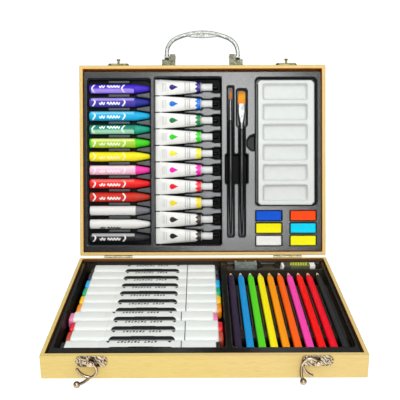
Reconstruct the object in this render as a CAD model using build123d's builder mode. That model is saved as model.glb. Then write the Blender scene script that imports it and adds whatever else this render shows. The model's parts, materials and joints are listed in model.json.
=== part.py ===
"""Painting set: a hinged wooden case that opens on two trays of drawing and painting materials.

Millimetres. X runs to the right, Y to the back and Z up. The origin is the centre of the underside
of the base. The case stands open, and its lid leans back on two stop hinges.
"""
import os
from math import cos, degrees, asin, radians, sin, sqrt

from build123d import *

os.makedirs("parts", exist_ok=True)

# Case: two shallow halves of the same size, as long and as deep as the rows that they hold
half_height = 24.0
wall = 4.0
panel = 3.0
rebate = 2.0
edge_round = 0.8
lid_angle = 107.2
rim_gap = 0.2

# Clearances
seat_gap = 0.3
fit_gap = 0.05
running_gap = 0.1

# Stop hinges on the back walls
hinge_inset = 46.5
hinge_length = 34.0
knuckle_count = 5
knuckle_radius = 1.5
pin_radius = 0.7
pin_head = 0.5
leaf = 0.8
leaf_height = 12.0
heel_reach = 6.0
heel_clearance = 0.7
heel_foot = 1.5
hinge_screw_x = 11.0
hinge_screw_drop = 9.4

# Small fasteners
shank_radius = 0.9
shank_grip = 2.6
nail_head_radius = 1.9
latch_nail_head = 1.2
catch_nail_head = 0.9
screw_head_radius = 1.6
screw_head_height = 0.7
screw_slot = 0.4

# Swing latches on the front wall of the base
latch_inset = 47.3
latch_height = 18.5
latch_plate_length = 29.3
latch_plate_width = 10.6
latch_plate = 1.6
nail_spread = 10.5
rivet_radius = 1.3
rivet_head_radius = 2.3
rivet_head_height = 1.1

# Hooks, drawn round the pivot: X to the right, Y up
hook_wire = 1.4
hook_standoff = 4.75
hook_eye_radius = 3.0
prong_radius = 14.0
prong_tip_angle = 205.0
fork_angle = 262.6
fork_radius = 14.6
arm_bulge = (5.0, -7.4)
ball_radius = 3.1
ball_drop = 15.2
ball_side = 11.8
ball_standoff = 15.0
tail_sag = 1.3
right_hook_turn = 85.8

# Catches on the front wall of the lid
catch_plate_length = 26.0
catch_plate = 2.4
catch_bevel = 1.0
catch_spread = 10.0
post_distance = 11.0
post_neck_radius = 1.3
post_head_radius = 2.3
post_head_low = 6.5
post_head_high = 8.4
post_bevel = 0.8

# Carrying handle on the front wall of the lid
handle_span = 43.7
handle_pivot = 11.8
handle_rise = 32.5
handle_shoulder = 5.2
handle_shoulder_radius = 20.0
bail_thickness = 4.4
bail_width = 6.0
bail_pin_radius = 1.5
bail_pin_reach = 0.4
bail_eye_overhang = 0.5
grip_half_length = 23.0
grip_depth = 4.0
grip_width = 5.0
bracket_inner = 33.3
bracket_outer = 49.5
bracket_ear = 6.5
bracket_ear_height = 14.8
bracket_block_height = 8.4
bracket_width = 11.0
bracket_round = 1.2
bracket_plate = 1.2
bracket_plate_width = 22.0
bracket_screw_offset = 7.6

# Trays of thin black sheet
sheet = 0.8
tray_edge_gap = 0.5
tray_corner = 2.0
bay_corner = 3.0
pocket_corner = 1.0
base_tray_drop = 3.0
lid_tray_drop = 3.3
lid_tray_slip = 3.4

# Markers: ten, side by side, from the back to the front
marker_count = 10
marker_gap = 0.3
marker_width = 20.2
marker_thickness = 14.5
marker_corner = 4.5
marker_length = 144.3
marker_cap = 32.9
marker_joint = 0.3
marker_plug = 4.6
marker_plug_inset = 1.3
marker_neck_radius = 5.0
marker_neck = 12.0
marker_shifts = {6: -4.4, 9: -3.1}
marker_finger_gap = 6.45
marker_end_gap = 1.35
marker_bay_margin = 0.25
marker_front_flange = 15.95
marker_back_flange = 2.85

# Pencils: ten, tips to the back
pencil_count = 10
pencil_gap = 4.41
pencil_flats = 6.9
pencil_length = 178.0
pencil_height = 16.5
pencil_point = 17.0
lead_radius = 1.0
pencil_left_gap = 4.9
pencil_right_gap = 7.31
pencil_front_flange = 15.8
pencil_front_gap = 2.2
pencil_back_gap = 4.5
saddle_front_gap = 33.3
saddle_back_gap = 28.0
rib_front_gap = 19.3
rib_back_gap = 32.8
rib_width = 2.6
rib_height = 4.4

# Sharpener and eraser at the back of the pencils
ledge_drop = 2.5
ledge_margin = 6.5
ledge_flange = 3.0
sharpener_left = 23.5
sharpener_length = 26.4
sharpener_depth = 14.0
sharpener_round = 0.6
sharpener_back_gap = 1.6
sharpener_top = 23.5
sharpener_slot = 9.6
sharpener_slot_offset = 5.9
sharpener_slot_depth = 4.0
sharpener_sill = 6.0
blade_screw_grip = 1.2
blade = 0.6
blade_overlap = 0.7
blade_inset = 0.6
bore_share = 0.45
bore_radii = (4.0, 5.3)
bore_tip_radius = 0.8
eraser_start = 64.9
eraser_length = 40.0
eraser_slant = 2.0
eraser_back_gap = 2.2
eraser_width = 12.4
eraser_height = 10.0
eraser_top = 21.5
sleeve = 0.4
sleeve_left = 2.5
sleeve_right = 6.7
small_pocket_margin = 1.0
eraser_end_gap = 5.3
notch_radius = 6.5
notch_back_gap = 6.0

# Oil pastels: twelve, up the left of the lid; A is measured from the hinge side of the lid
pastel_count = 12
pastel_gap = 5.05
pastel_length = 74.2
pastel_radius = 5.8
pastel_wrap = 56.3
pastel_tip_radius = 3.0
pastel_tip_bevel = 0.8
pastel_bare = 3.0
wrapper_inset = 0.4
paper = 0.25
pastel_drop = 1.0
pastel_left_gap = 1.9
pastel_end_gap = 0.6
pastel_low_flange = 8.4
pastel_low_gap = 9.1
pastel_high_gap = 11.85
pastel_high_flange = 11.5
bar_start = 22.8
bar_end = 49.8
bar_margin = 0.45
bar_share = 0.65
wedge_start = 57.2
wedge_wide = 8.4
wedge_share = 0.8

# Paint tubes: ten, with their caps to the right
tube_count = 10
tube_gap = 0.36
tube_crimp_width = 20.0
tube_crimp_length = 5.0
tube_crimp = 1.4
tube_radius = 6.7
tube_shoulder = 56.0
tube_taper = 1.5
tube_cap_radius = 4.55
tube_cap_length = 12.7
tube_neck_radius = 3.4
tube_neck_length = 8.0
tube_drop = 0.8
tube_left_gap = 0.8
tube_finger_gap = 10.8
tube_low_flange = 8.0
tube_low_gap = 11.2
tube_high_gap = 11.66
tube_high_flange = 9.9
tube_rib_gap = 0.6
tube_rib_share = 0.75
tube_rib_tail = 22.0
tube_rib_hip = 6.0
tube_rib_waist = 1.4
tube_rib_neck = (1.0, 10.0, 16.0)

# Brushes
brush_tip = 23.9
brush_drop = 5.0
brush_tenon = 6.0
brush_tenon_radius = 1.7
round_brush_left = 6.4
round_ferrule = (165.8, 191.2)
round_ferrule_radii = (2.45, 2.1)
round_bristle_length = 14.1
brush_spacing = 13.8
flat_ferrule = (155.4, 185.9)
flat_ferrule_radius = 2.5
flat_ferrule_width = 9.5
flat_ferrule_thickness = 3.2
flat_ferrule_straight = 8.0
flat_bristle_length = 15.5
brush_belly = 3.1
brush_end_radius = 1.2
brush_end_bevel = 1.0
brush_belly_share = 0.72
strand = 0.2
strand_pitch = 0.26
strand_rings = 7
flat_strand_columns = 32
flat_strand_rows = 6
strand_root = 1.6
tip_taper = 0.55
tip_curve = 1.6
round_off = 0.01
brush_slot_width = 8.2
brush_slot_depth = 8.6
brush_slot_end = 2.0
flat_slot_width = 12.4
recess_right_gap = 7.2
recess_low = 87.8
recess_high = 123.4

# Palette and paint cakes
palette_rims = (6.1, 7.8, 14.6, 14.0)
palette_thickness = 8.0
palette_corner = 4.5
palette_drop = 0.7
palette_margin = 0.8
palette_left_room = 2.6
palette_right_room = 3.4
palette_high_room = 3.4
well_length = 55.3
well_width = 20.4
well_depth = 4.8
well_count = 6
well_pitch = 24.8
well_corner = 2.5
palette_notch_overhang = 3.4
palette_high_flange = 14.1
palette_notch_radius = 9.8
palette_notch_depth = 13.0
cake_length = 30.8
cake_width = 11.8
cake_thickness = 5.0
cake_drop = 0.6
cake_rows = 3
cake_low_flange = 7.6
cake_gap = 3.5
cake_column_gap = 11.45
cake_overhang = 2.1
cake_palette_gap = 7.3
cake_margin = 0.3
cake_corner = 0.8

# Flanges and partitions of the trays, from left to right
left_flange = 5.2
right_flange = 4.5
partition = 7.0
lid_partition = 5.3
brush_partition = 5.0
palette_partition = 12.2

# Rows: what one piece and the gap beside it take, and what each row needs from wall to wall
marker_pitch = marker_width + marker_gap
pencil_pitch = pencil_flats + pencil_gap
pastel_pitch = 2 * pastel_radius + pastel_gap
tube_pitch = tube_crimp_width + tube_gap
cake_pitch = cake_width + cake_gap
tube_cap_start = tube_shoulder + tube_taper
tube_length = tube_cap_start + tube_cap_length
palette_length = well_length + palette_rims[0] + palette_rims[1]
palette_width = (well_count - 1) * well_pitch + palette_rims[2] + palette_rims[3]
ledge_depth = max(sharpener_depth, eraser_width) + ledge_margin
case_length = 2 * wall + left_flange + right_flange + max(
    marker_finger_gap + marker_length + 2 * marker_plug + marker_end_gap + partition
    + pencil_left_gap + (pencil_count - 1) * pencil_pitch + pencil_right_gap,
    pastel_left_gap + pastel_length + pastel_end_gap + lid_partition + tube_left_gap
    + tube_length + tube_finger_gap + brush_partition + round_brush_left + brush_spacing
    + recess_right_gap + palette_partition + palette_length,
)
case_depth = 2 * wall + max(
    marker_front_flange + (marker_count - 1) * marker_pitch + marker_width
    + 2 * marker_bay_margin + marker_back_flange,
    pencil_front_flange + pencil_front_gap + pencil_length + pencil_back_gap + ledge_depth
    + ledge_flange,
    pastel_low_flange + pastel_low_gap + (pastel_count - 1) * pastel_pitch + pastel_high_gap
    + pastel_high_flange,
    tube_low_flange + tube_low_gap + (tube_count - 1) * tube_pitch + tube_high_gap
    + tube_high_flange,
    cake_low_flange + cake_rows * cake_pitch - cake_gap + cake_palette_gap + palette_width
    + palette_high_flange,
)

# Places in the base, from the left and the back
hinge_x = case_length / 2 - hinge_inset
latch_x = case_length / 2 - latch_inset
first_bay = wall + left_flange - case_length / 2
marker_left = first_bay + marker_finger_gap + marker_plug
marker_bay_right = marker_left + marker_length + marker_plug + marker_end_gap
marker_first_y = case_depth / 2 - wall - marker_back_flange - marker_bay_margin - marker_width / 2
pencil_bay_left = marker_bay_right + partition
pencil_first_x = pencil_bay_left + pencil_left_gap
pencil_bay_right = pencil_first_x + (pencil_count - 1) * pencil_pitch + pencil_right_gap
pencil_bay_front = wall + pencil_front_flange - case_depth / 2
pencil_front = pencil_bay_front + pencil_front_gap
pencil_bay_back = pencil_front + pencil_length + pencil_back_gap
saddle_front = pencil_bay_front + saddle_front_gap
saddle_back = pencil_bay_back - saddle_back_gap
rib_front = saddle_front + rib_front_gap
rib_back = saddle_back - rib_back_gap
ledge_back = pencil_bay_back + ledge_depth
sharpener_x = pencil_bay_left + sharpener_left
sharpener_back = ledge_back - sharpener_back_gap
eraser_left = pencil_bay_left + eraser_start
eraser_front = ledge_back - eraser_back_gap - eraser_width
eraser_pocket_right = eraser_left + eraser_length + eraser_end_gap
notch_y = ledge_back - notch_back_gap

# Places in the lid, from the left and from the hinge side
pastel_left = first_bay + pastel_left_gap
pastel_bay_right = pastel_left + pastel_length + pastel_end_gap
pastel_first = wall + pastel_low_flange + pastel_low_gap
pastel_last = pastel_first + (pastel_count - 1) * pastel_pitch
pastel_bay = (
    first_bay, pastel_bay_right, pastel_first - pastel_low_gap, pastel_last + pastel_high_gap
)
tube_left = pastel_bay_right + lid_partition + tube_left_gap
tube_first = wall + tube_low_flange + tube_low_gap
tube_last = tube_first + (tube_count - 1) * tube_pitch
tube_bay = (
    tube_left - tube_left_gap, tube_left + tube_length + tube_finger_gap,
    tube_first - tube_low_gap, tube_last + tube_high_gap,
)
recess_left = tube_bay[1] + brush_partition
round_brush_x = recess_left + round_brush_left
flat_brush_x = round_brush_x + brush_spacing
recess_right = flat_brush_x + recess_right_gap
palette_left = recess_right + palette_partition
cake_first = wall + cake_low_flange + cake_width / 2
palette_low = cake_first - cake_width / 2 + cake_rows * cake_pitch - cake_gap + cake_palette_gap
palette_area = (
    palette_left, palette_left + palette_length, palette_low, palette_low + palette_width
)
well_x = palette_left + palette_rims[0] + well_length / 2
well_first = palette_low + palette_rims[2]
palette_notch = (palette_left - palette_notch_overhang, palette_low + palette_width / 2)
cake_column = palette_left - cake_overhang + cake_length / 2
cake_columns = (cake_column, cake_column + cake_length + cake_column_gap)

# Frames of the two halves: X right, Y away from the hinge in the lid, Z out of the opening
axis_offset = knuckle_radius + 0.25
hinge_axis = Vector(0, case_depth / 2 + axis_offset, half_height)
lid_along = Vector(0, -cos(radians(lid_angle)), sin(radians(lid_angle)))
lid_out = Vector(0, -sin(radians(lid_angle)), -cos(radians(lid_angle)))
base_rim = Plane.XY.offset(half_height)
lid_rim = Plane(
    origin=hinge_axis + lid_along * axis_offset - lid_out * rim_gap,
    x_dir=(1, 0, 0),
    z_dir=lid_out,
)
base_front_face = Plane(origin=(0, -case_depth / 2, 0), x_dir=(1, 0, 0), z_dir=(0, -1, 0))
lid_front_face = Plane(
    origin=lid_rim.origin + lid_along * case_depth, x_dir=(1, 0, 0), z_dir=lid_along
)


def area(x_low, x_high, y_low, y_high, corner=0.0):
    """Draws a rectangle between two corners, with its corners rounded, in the open sketch."""
    with Locations(((x_low + x_high) / 2, (y_low + y_high) / 2)):
        if corner > 0:
            RectangleRounded(x_high - x_low, y_high - y_low, corner)
        else:
            Rectangle(x_high - x_low, y_high - y_low)


def spot(plane, x, y, height=0.0):
    """Plane like the given one, moved to a place on it."""
    return Plane(plane.from_local_coords((x, y, height)), x_dir=plane.x_dir, z_dir=plane.z_dir)


def half_section(seat):
    """Plane through the axis of a seat: its X is the radius, and its Y the height above the seat."""
    return Plane(origin=seat.origin, x_dir=seat.x_dir, z_dir=-seat.y_dir)


def drill(seat, radius, depth):
    """Drills a round hole down from a seat in the open part."""
    with BuildSketch(seat) as hole:
        Circle(radius)
    extrude(hole.sketch, amount=-depth, mode=Mode.SUBTRACT)


def dome_nail(seat, grip, head_height):
    """Adds a nail with a domed head to the open part."""
    with BuildSketch(half_section(seat)) as profile:
        with BuildLine():
            Polyline(
                (0, head_height), (0, -grip), (shank_radius, -grip), (shank_radius, 0),
                (nail_head_radius, 0),
            )
            RadiusArc(
                (nail_head_radius, 0), (0, head_height),
                -(nail_head_radius**2 + head_height**2) / (2 * head_height),
            )
        make_face()
    revolve(profile.sketch, axis=Axis(seat.origin, seat.z_dir))


def slotted_screw(seat, grip):
    """Adds a round-headed screw with a driver slot to the open part."""
    with BuildSketch(seat.offset(-grip)) as shank:
        Circle(shank_radius)
    extrude(shank.sketch, amount=grip)
    with BuildSketch(seat) as head:
        Circle(screw_head_radius)
    extrude(head.sketch, amount=screw_head_height / 2)
    with BuildSketch(seat) as slotted_head:
        Circle(screw_head_radius)
        Rectangle(2 * screw_head_radius, screw_slot, mode=Mode.SUBTRACT)
    extrude(slotted_head.sketch, amount=screw_head_height)


def save(piece, name):
    """Names a finished piece and writes it."""
    piece.part.label = name
    export_step(piece.part, f"parts/{name}.step")


# Seats of every fastener, each with the depth that it takes out of the wood behind its plate
def hinge_face(down, out):
    """Outer face of a back wall: Y is the distance from the hinge axis, Z is outwards."""
    return Plane(origin=hinge_axis - out * axis_offset, x_dir=down.cross(out), z_dir=out)


base_leaf_face = hinge_face(Vector(0, 0, -1), Vector(0, 1, 0))
lid_leaf_face = hinge_face(-lid_out, -lid_along)
catch_depth = post_distance - (half_height - latch_height) - rim_gap
bracket_depth = half_height / 2


def screw_seats(face):
    """Seats of the four screws that hold the two leaves on one back wall."""
    return [
        spot(face, side * hinge_x + shift, hinge_screw_drop, leaf)
        for side in (-1, 1)
        for shift in (-hinge_screw_x, hinge_screw_x)
    ]


def nail_seats(face, depth, spread, plate):
    """Seats of the four nails in the two plates on one front wall."""
    return [
        spot(face, side * latch_x + shift, depth, plate)
        for side in (-1, 1)
        for shift in (-spread, spread)
    ]


base_hinge_seats = screw_seats(base_leaf_face)
lid_hinge_seats = screw_seats(lid_leaf_face)
latch_nail_seats = nail_seats(base_front_face, latch_height, nail_spread, latch_plate)
catch_nail_seats = nail_seats(lid_front_face, catch_depth, catch_spread, catch_plate)
post_seats = [spot(lid_front_face, side * latch_x, catch_depth) for side in (-1, 1)]
bracket_middle = (bracket_inner + bracket_outer) / 2
handle_screw_seats = [
    spot(lid_front_face, side * bracket_middle, bracket_depth + shift, bracket_plate)
    for side in (-1, 1)
    for shift in (-bracket_screw_offset, bracket_screw_offset)
]


# Wooden halves: rounded outside, with the outer panel let into the walls
def carcass(prefix, rim, middle, front, front_seats, back_seats):
    """Makes the four walls and the panel of one half; front is the sign of its front wall."""
    floor = rim.offset(-half_height)
    half_x = case_length / 2
    half_y = case_depth / 2
    with BuildPart() as block:
        with BuildSketch(floor):
            area(-half_x, half_x, middle - half_y, middle + half_y)
        extrude(amount=half_height)
        fillet(block.edges(), min(edge_round, wall / 3))
    with BuildPart() as outer_panel:
        with BuildSketch(floor):
            inset = wall - rebate
            area(inset - half_x, half_x - inset, middle - half_y + inset, middle + half_y - inset)
        extrude(amount=panel)
    save(outer_panel, f"{prefix}_panel")
    front_edges = sorted((middle + front * half_y, middle + front * (half_y - wall)))
    back_edges = sorted((middle - front * half_y, middle - front * (half_y - wall)))
    side_edges = (middle - half_y + wall, middle + half_y - wall)
    walls = {
        "front": (-half_x, half_x, *front_edges),
        "back": (-half_x, half_x, *back_edges),
        "left": (-half_x, wall - half_x, *side_edges),
        "right": (half_x - wall, half_x, *side_edges),
    }
    seats = {"front": front_seats, "back": back_seats}
    for side, bounds in walls.items():
        with BuildPart() as piece:
            with BuildSketch(floor):
                area(*bounds)
            extrude(amount=half_height)
            add(block.part, mode=Mode.INTERSECT)
            add(outer_panel.part, mode=Mode.SUBTRACT)
            for seat, plate in seats.get(side, []):
                drill(seat, shank_radius + fit_gap, plate + shank_grip + fit_gap)
        save(piece, f"{prefix}_{side}_wall")


carcass(
    "base", base_rim, 0, -1,
    [(seat, latch_plate) for seat in latch_nail_seats],
    [(seat, leaf) for seat in base_hinge_seats],
)
carcass(
    "lid", lid_rim, case_depth / 2, 1,
    [(seat, catch_plate) for seat in catch_nail_seats]
    + [(seat, 0) for seat in post_seats]
    + [(seat, bracket_plate) for seat in handle_screw_seats],
    [(seat, leaf) for seat in lid_hinge_seats],
)

# Stop hinges: each leaf carries some of the knuckles, and a heel that meets the other leaf's heel
knuckle_pitch = hinge_length / knuckle_count
pin_head_radius = axis_offset - leaf - fit_gap
stop_half_angle = radians((180 - lid_angle) / 2)


def heel_face(distance):
    """Point of a heel's stop face, at a distance from the hinge axis."""
    return (
        distance * cos(stop_half_angle) + seat_gap / 2 * sin(stop_half_angle),
        distance * sin(stop_half_angle) - seat_gap / 2 * cos(stop_half_angle),
    )


def hinge_leaf(name, x, down, out, first_knuckle, seats):
    """Makes a leaf: its section has X away from the hinge axis and Y out of the wall."""
    section = Plane(
        origin=hinge_axis + Vector(x, 0, 0), x_dir=down, z_dir=down.cross(out)
    )
    surface = leaf - axis_offset
    heel_start = knuckle_radius + heel_clearance
    with BuildPart() as piece:
        with BuildSketch(section):
            area(fit_gap, leaf_height, -axis_offset, surface)
            with BuildLine():
                Polyline(
                    (sqrt(heel_start**2 - surface**2), surface), heel_face(heel_start),
                    heel_face(heel_reach), (heel_reach + heel_foot, surface), close=True,
                )
            make_face()
        extrude(amount=hinge_length / 2, both=True)
        for index in range(knuckle_count):
            start = section.offset((index - knuckle_count / 2) * knuckle_pitch)
            own = index % 2 == first_knuckle
            with BuildSketch(start.offset(running_gap) if own else start):
                Circle(knuckle_radius if own else knuckle_radius + seat_gap)
            extrude(
                amount=knuckle_pitch - 2 * running_gap if own else knuckle_pitch,
                mode=Mode.ADD if own else Mode.SUBTRACT,
            )
        with BuildSketch(section):
            Circle(pin_radius + fit_gap)
        extrude(amount=hinge_length, both=True, mode=Mode.SUBTRACT)
        for seat in seats:
            drill(seat, shank_radius + fit_gap, 2 * leaf)
    save(piece, name)


def hinge_pin(name, x):
    """Makes a hinge pin with a head at each end of the barrel."""
    end = Plane(origin=hinge_axis + Vector(x - hinge_length / 2, 0, 0), z_dir=(1, 0, 0))
    barrel = knuckle_pitch * knuckle_count
    with BuildPart() as pin:
        with BuildSketch(end.offset(running_gap - pin_head)):
            Circle(pin_radius)
        extrude(amount=barrel + 2 * (pin_head - running_gap))
        with BuildSketch(end.offset(running_gap - pin_head)):
            Circle(pin_head_radius)
        extrude(amount=pin_head)
        with BuildSketch(end.offset(barrel - running_gap)):
            Circle(pin_head_radius)
        extrude(amount=pin_head)
    save(pin, name)


for number, side in enumerate(("left", "right")):
    place = (2 * number - 1) * hinge_x
    pair = slice(2 * number, 2 * number + 2)
    hinge_leaf(
        f"{side}_hinge_base_leaf", place, Vector(0, 0, -1), Vector(0, 1, 0), 0, base_hinge_seats[pair]
    )
    mirrored = slice(2 - 2 * number, 4 - 2 * number)
    hinge_leaf(
        f"{side}_hinge_lid_leaf", place, -lid_out, -lid_along, 1, lid_hinge_seats[mirrored]
    )
    hinge_pin(f"{side}_hinge_pin", place)

for name, seats in (("base_hinge_screws", base_hinge_seats), ("lid_hinge_screws", lid_hinge_seats)):
    with BuildPart() as screws:
        for seat in seats:
            slotted_screw(seat, leaf + shank_grip)
    save(screws, name)

# Latch plates with their rivets, and the nails of all four front plates
eye_low = latch_plate + seat_gap
eye_high = hook_standoff + hook_wire
for name, sign in (("left", -1), ("right", 1)):
    seat = spot(base_front_face, sign * latch_x, latch_height)
    with BuildPart() as latch_base:
        with BuildSketch(seat):
            SlotOverall(latch_plate_length, latch_plate_width)
        extrude(amount=latch_plate)
        fillet(latch_base.faces().sort_by(Axis.Y)[0].edges(), latch_plate / 4)
        drill(seat.offset(latch_plate), rivet_radius + fit_gap, latch_plate)
        with BuildSketch(seat):
            with Locations((-nail_spread, 0), (nail_spread, 0)):
                Circle(shank_radius + fit_gap)
        extrude(amount=latch_plate, mode=Mode.SUBTRACT)
    save(latch_base, f"{name}_latch_plate")
    with BuildPart() as rivet:
        with BuildSketch(seat):
            Circle(rivet_radius)
        extrude(amount=eye_high + running_gap + rivet_head_height)
        with BuildSketch(seat.offset(eye_high + running_gap)):
            Circle(rivet_head_radius)
        extrude(amount=rivet_head_height)
        fillet(rivet.faces().sort_by(Axis.Y)[0].edges(), rivet_head_height / 2)
    save(rivet, f"{name}_latch_rivet")

for name, seats, plate, head_height in (
    ("latch_nails", latch_nail_seats, latch_plate, latch_nail_head),
    ("catch_nails", catch_nail_seats, catch_plate, catch_nail_head),
):
    with BuildPart() as nails:
        for seat in seats:
            dome_nail(seat, plate + shank_grip, head_height)
    save(nails, name)


# Hooks: a bent wire arm with a prong round the pivot and a ball to pull, one mirrored and turned
def hook_point(x, y, standoff):
    """Place on the hook: X right and Y up from the pivot, standoff out of the wall's face."""
    return Vector(x, -standoff, y)


def on_circle(radius, angle):
    """Place on the hook's own plane, by its distance and angle from the pivot."""
    return hook_point(radius * cos(radians(angle)), radius * sin(radians(angle)), hook_standoff)


def bent_wire(start, middle, end):
    """Adds a round wire along an arc through three places to the open part."""
    with BuildLine() as route:
        ThreePointArc(start, middle, end)
    with BuildSketch(Plane(origin=route.line @ 0, z_dir=route.line % 0)) as section:
        Circle(hook_wire)
    sweep(section.sketch, path=route.line)


fork = on_circle(fork_radius, fork_angle)
ball = hook_point(-ball_side, -ball_drop, ball_standoff)
tail_middle = (fork + ball) / 2 - Vector(0, 0, tail_sag)
prong_tip = on_circle(prong_radius, prong_tip_angle)
with BuildPart() as hook:
    with BuildSketch(Plane(origin=(0, -eye_low, 0), z_dir=(0, -1, 0))):
        Circle(hook_eye_radius)
    extrude(amount=eye_high - eye_low)
    bent_wire(hook_point(0, 0, hook_standoff), hook_point(*arm_bulge, hook_standoff), fork)
    bent_wire(
        prong_tip,
        on_circle(prong_radius, (prong_tip_angle + fork_angle) / 2),
        on_circle(prong_radius, fork_angle),
    )
    bent_wire(fork, tail_middle, ball)
    with Locations(fork, prong_tip):
        Sphere(hook_wire)
    with Locations(ball):
        Sphere(ball_radius)
    with BuildSketch(Plane(origin=(0, 0, 0), z_dir=(0, -1, 0))):
        Circle(rivet_radius + running_gap)
    extrude(amount=2 * eye_high, mode=Mode.SUBTRACT)

with BuildPart() as left_latch_hook:
    with Locations(Location((-latch_x, -case_depth / 2, latch_height))):
        add(hook.part)
save(left_latch_hook, "left_latch_hook")
mirrored_hook = hook.part.mirror(Plane.YZ)
with BuildPart() as right_latch_hook:
    with Locations(Location((latch_x, -case_depth / 2, latch_height), (0, right_hook_turn, 0))):
        add(mirrored_hook)
save(right_latch_hook, "right_latch_hook")

# Catch plates and posts on the lid
for name, sign in (("left", -1), ("right", 1)):
    seat = spot(lid_front_face, sign * latch_x, catch_depth)
    with BuildPart() as catch_base:
        with BuildSketch(seat):
            SlotOverall(catch_plate_length, latch_plate_width)
        extrude(amount=catch_plate)
        chamfer(
            catch_base.faces().sort_by(lambda face: face.center().dot(lid_along))[-1].edges(),
            min(catch_bevel, catch_plate / 2),
        )
        drill(seat.offset(catch_plate), shank_radius + fit_gap, catch_plate)
        with BuildSketch(seat):
            with Locations((-catch_spread, 0), (catch_spread, 0)):
                Circle(shank_radius + fit_gap)
        extrude(amount=catch_plate, mode=Mode.SUBTRACT)
    save(catch_base, f"{name}_catch_plate")
    with BuildPart() as post:
        with BuildSketch(half_section(seat)):
            with BuildLine():
                Polyline(
                    (0, -shank_grip), (shank_radius, -shank_grip), (shank_radius, catch_plate),
                    (post_neck_radius, catch_plate), (post_neck_radius, post_head_low),
                    (post_head_radius, post_head_low + post_bevel / 2),
                    (post_head_radius, post_head_high - post_bevel),
                    (post_head_radius - post_bevel, post_head_high), (0, post_head_high), close=True,
                )
            make_face()
        revolve(axis=Axis(seat.origin, seat.z_dir))
    save(post, f"{name}_catch_post")

# Handle: an arched bail with a thicker grip, turning in two brackets
bail_plane = Plane(
    origin=lid_front_face.from_local_coords((0, bracket_depth, 0)), x_dir=(1, 0, 0), z_dir=lid_out
)
spring = handle_pivot + handle_shoulder
arch_rise = handle_rise - handle_shoulder - bail_thickness / 2
crown_radius = (
    (handle_span - handle_shoulder_radius) ** 2 + arch_rise**2 - handle_shoulder_radius**2
) / (2 * (arch_rise - handle_shoulder_radius))
crown_half_angle = degrees(
    asin((handle_span - handle_shoulder_radius) / (crown_radius - handle_shoulder_radius))
)
crown_top = spring + arch_rise
bail_eye_radius = bail_width / 2
pin_inner = bracket_inner - bail_pin_reach
with BuildPart() as handle_bail:
    with BuildLine(bail_plane) as bail_path:
        left_leg = Line((-handle_span, handle_pivot), (-handle_span, spring))
        left_shoulder = JernArc(
            left_leg @ 1, left_leg % 1, handle_shoulder_radius, crown_half_angle - 90
        )
        crown = JernArc(left_shoulder @ 1, left_shoulder % 1, crown_radius, -2 * crown_half_angle)
        right_shoulder = JernArc(
            crown @ 1, crown % 1, handle_shoulder_radius, crown_half_angle - 90
        )
        Line(right_shoulder @ 1, (handle_span, handle_pivot))
    with BuildSketch(
        Plane(origin=bail_path.line @ 0, x_dir=(1, 0, 0), z_dir=bail_path.line % 0)
    ):
        RectangleRounded(bail_thickness, bail_width, bail_thickness / 4)
    sweep(path=bail_path.line)
    with BuildSketch(bail_plane):
        with BuildLine():
            dip = crown_top - bail_thickness / 2 - grip_depth
            edge = crown_top - crown_radius + sqrt(crown_radius**2 - grip_half_length**2)
            ThreePointArc((-grip_half_length, edge), (0, dip), (grip_half_length, edge))
            ThreePointArc((grip_half_length, edge), (0, crown_top), (-grip_half_length, edge))
        make_face()
    extrude(amount=grip_width / 2, both=True)
    for sign in (-1, 1):
        outer = sign * (handle_span + bail_thickness / 2 + bail_eye_overhang)
        eye_plane = Plane(
            origin=bail_plane.from_local_coords((outer, handle_pivot, 0)), z_dir=(-sign, 0, 0)
        )
        with BuildSketch(eye_plane):
            Circle(bail_eye_radius)
        extrude(amount=bail_thickness + 2 * bail_eye_overhang)
        with BuildSketch(eye_plane):
            Circle(bail_pin_radius)
        extrude(amount=abs(outer) - pin_inner)
save(handle_bail, "handle_bail")

for name, sign in (("left", -1), ("right", 1)):
    with BuildPart() as bracket:
        with BuildSketch(bail_plane):
            edges = sorted((sign * bracket_inner, sign * bracket_outer))
            area(*edges, 0, bracket_block_height)
            ear_edges = sorted((sign * bracket_inner, sign * (bracket_inner + bracket_ear)))
            area(*ear_edges, 0, bracket_ear_height)
        extrude(amount=bracket_width / 2, both=True)
        fillet(bracket.edges().filter_by(Axis.X), bracket_round)
        with BuildSketch(bail_plane):
            area(*edges, 0, bracket_plate)
        extrude(amount=bracket_plate_width / 2, both=True)
        hole_plane = Plane(
            origin=bail_plane.from_local_coords((0, handle_pivot, 0)), z_dir=(1, 0, 0)
        )
        with BuildSketch(hole_plane):
            Circle(bail_pin_radius + running_gap)
        extrude(amount=case_length / 2, both=True, mode=Mode.SUBTRACT)
        for shift in (-bracket_screw_offset, bracket_screw_offset):
            seat = spot(lid_front_face, sign * bracket_middle, bracket_depth + shift, bracket_plate)
            drill(seat, shank_radius + fit_gap, 2 * bracket_plate)
    save(bracket, f"{name}_handle_bracket")

with BuildPart() as handle_screws:
    for seat in handle_screw_seats:
        slotted_screw(seat, bracket_plate + shank_grip)
save(handle_screws, "handle_screws")

# Markers: a barrel with a capped nib at each end, and a coloured plug in each cap
marker_bottom = panel + sheet + seat_gap
marker_mid_height = marker_bottom + marker_thickness / 2
marker_rows = [
    (marker_left + marker_shifts.get(row, 0), marker_first_y - row * marker_pitch)
    for row in range(marker_count)
]


def bar_along_x(x_start, length, y, height, width, thickness, corner):
    """Adds a bar of rounded section along X to the open part."""
    section_plane = Plane(origin=(x_start, y, height), x_dir=(0, 1, 0), z_dir=(1, 0, 0))
    with BuildSketch(section_plane) as section:
        RectangleRounded(width, thickness, corner)
    extrude(section.sketch, amount=length)


def rod_along_x(x_start, length, y, height, radius, mode=Mode.ADD):
    """Adds or cuts a round rod along X in the open part."""
    section_plane = Plane(origin=(x_start, y, height), x_dir=(0, 1, 0), z_dir=(1, 0, 0))
    with BuildSketch(section_plane) as section:
        Circle(radius)
    extrude(section.sketch, amount=length, mode=mode)


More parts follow.
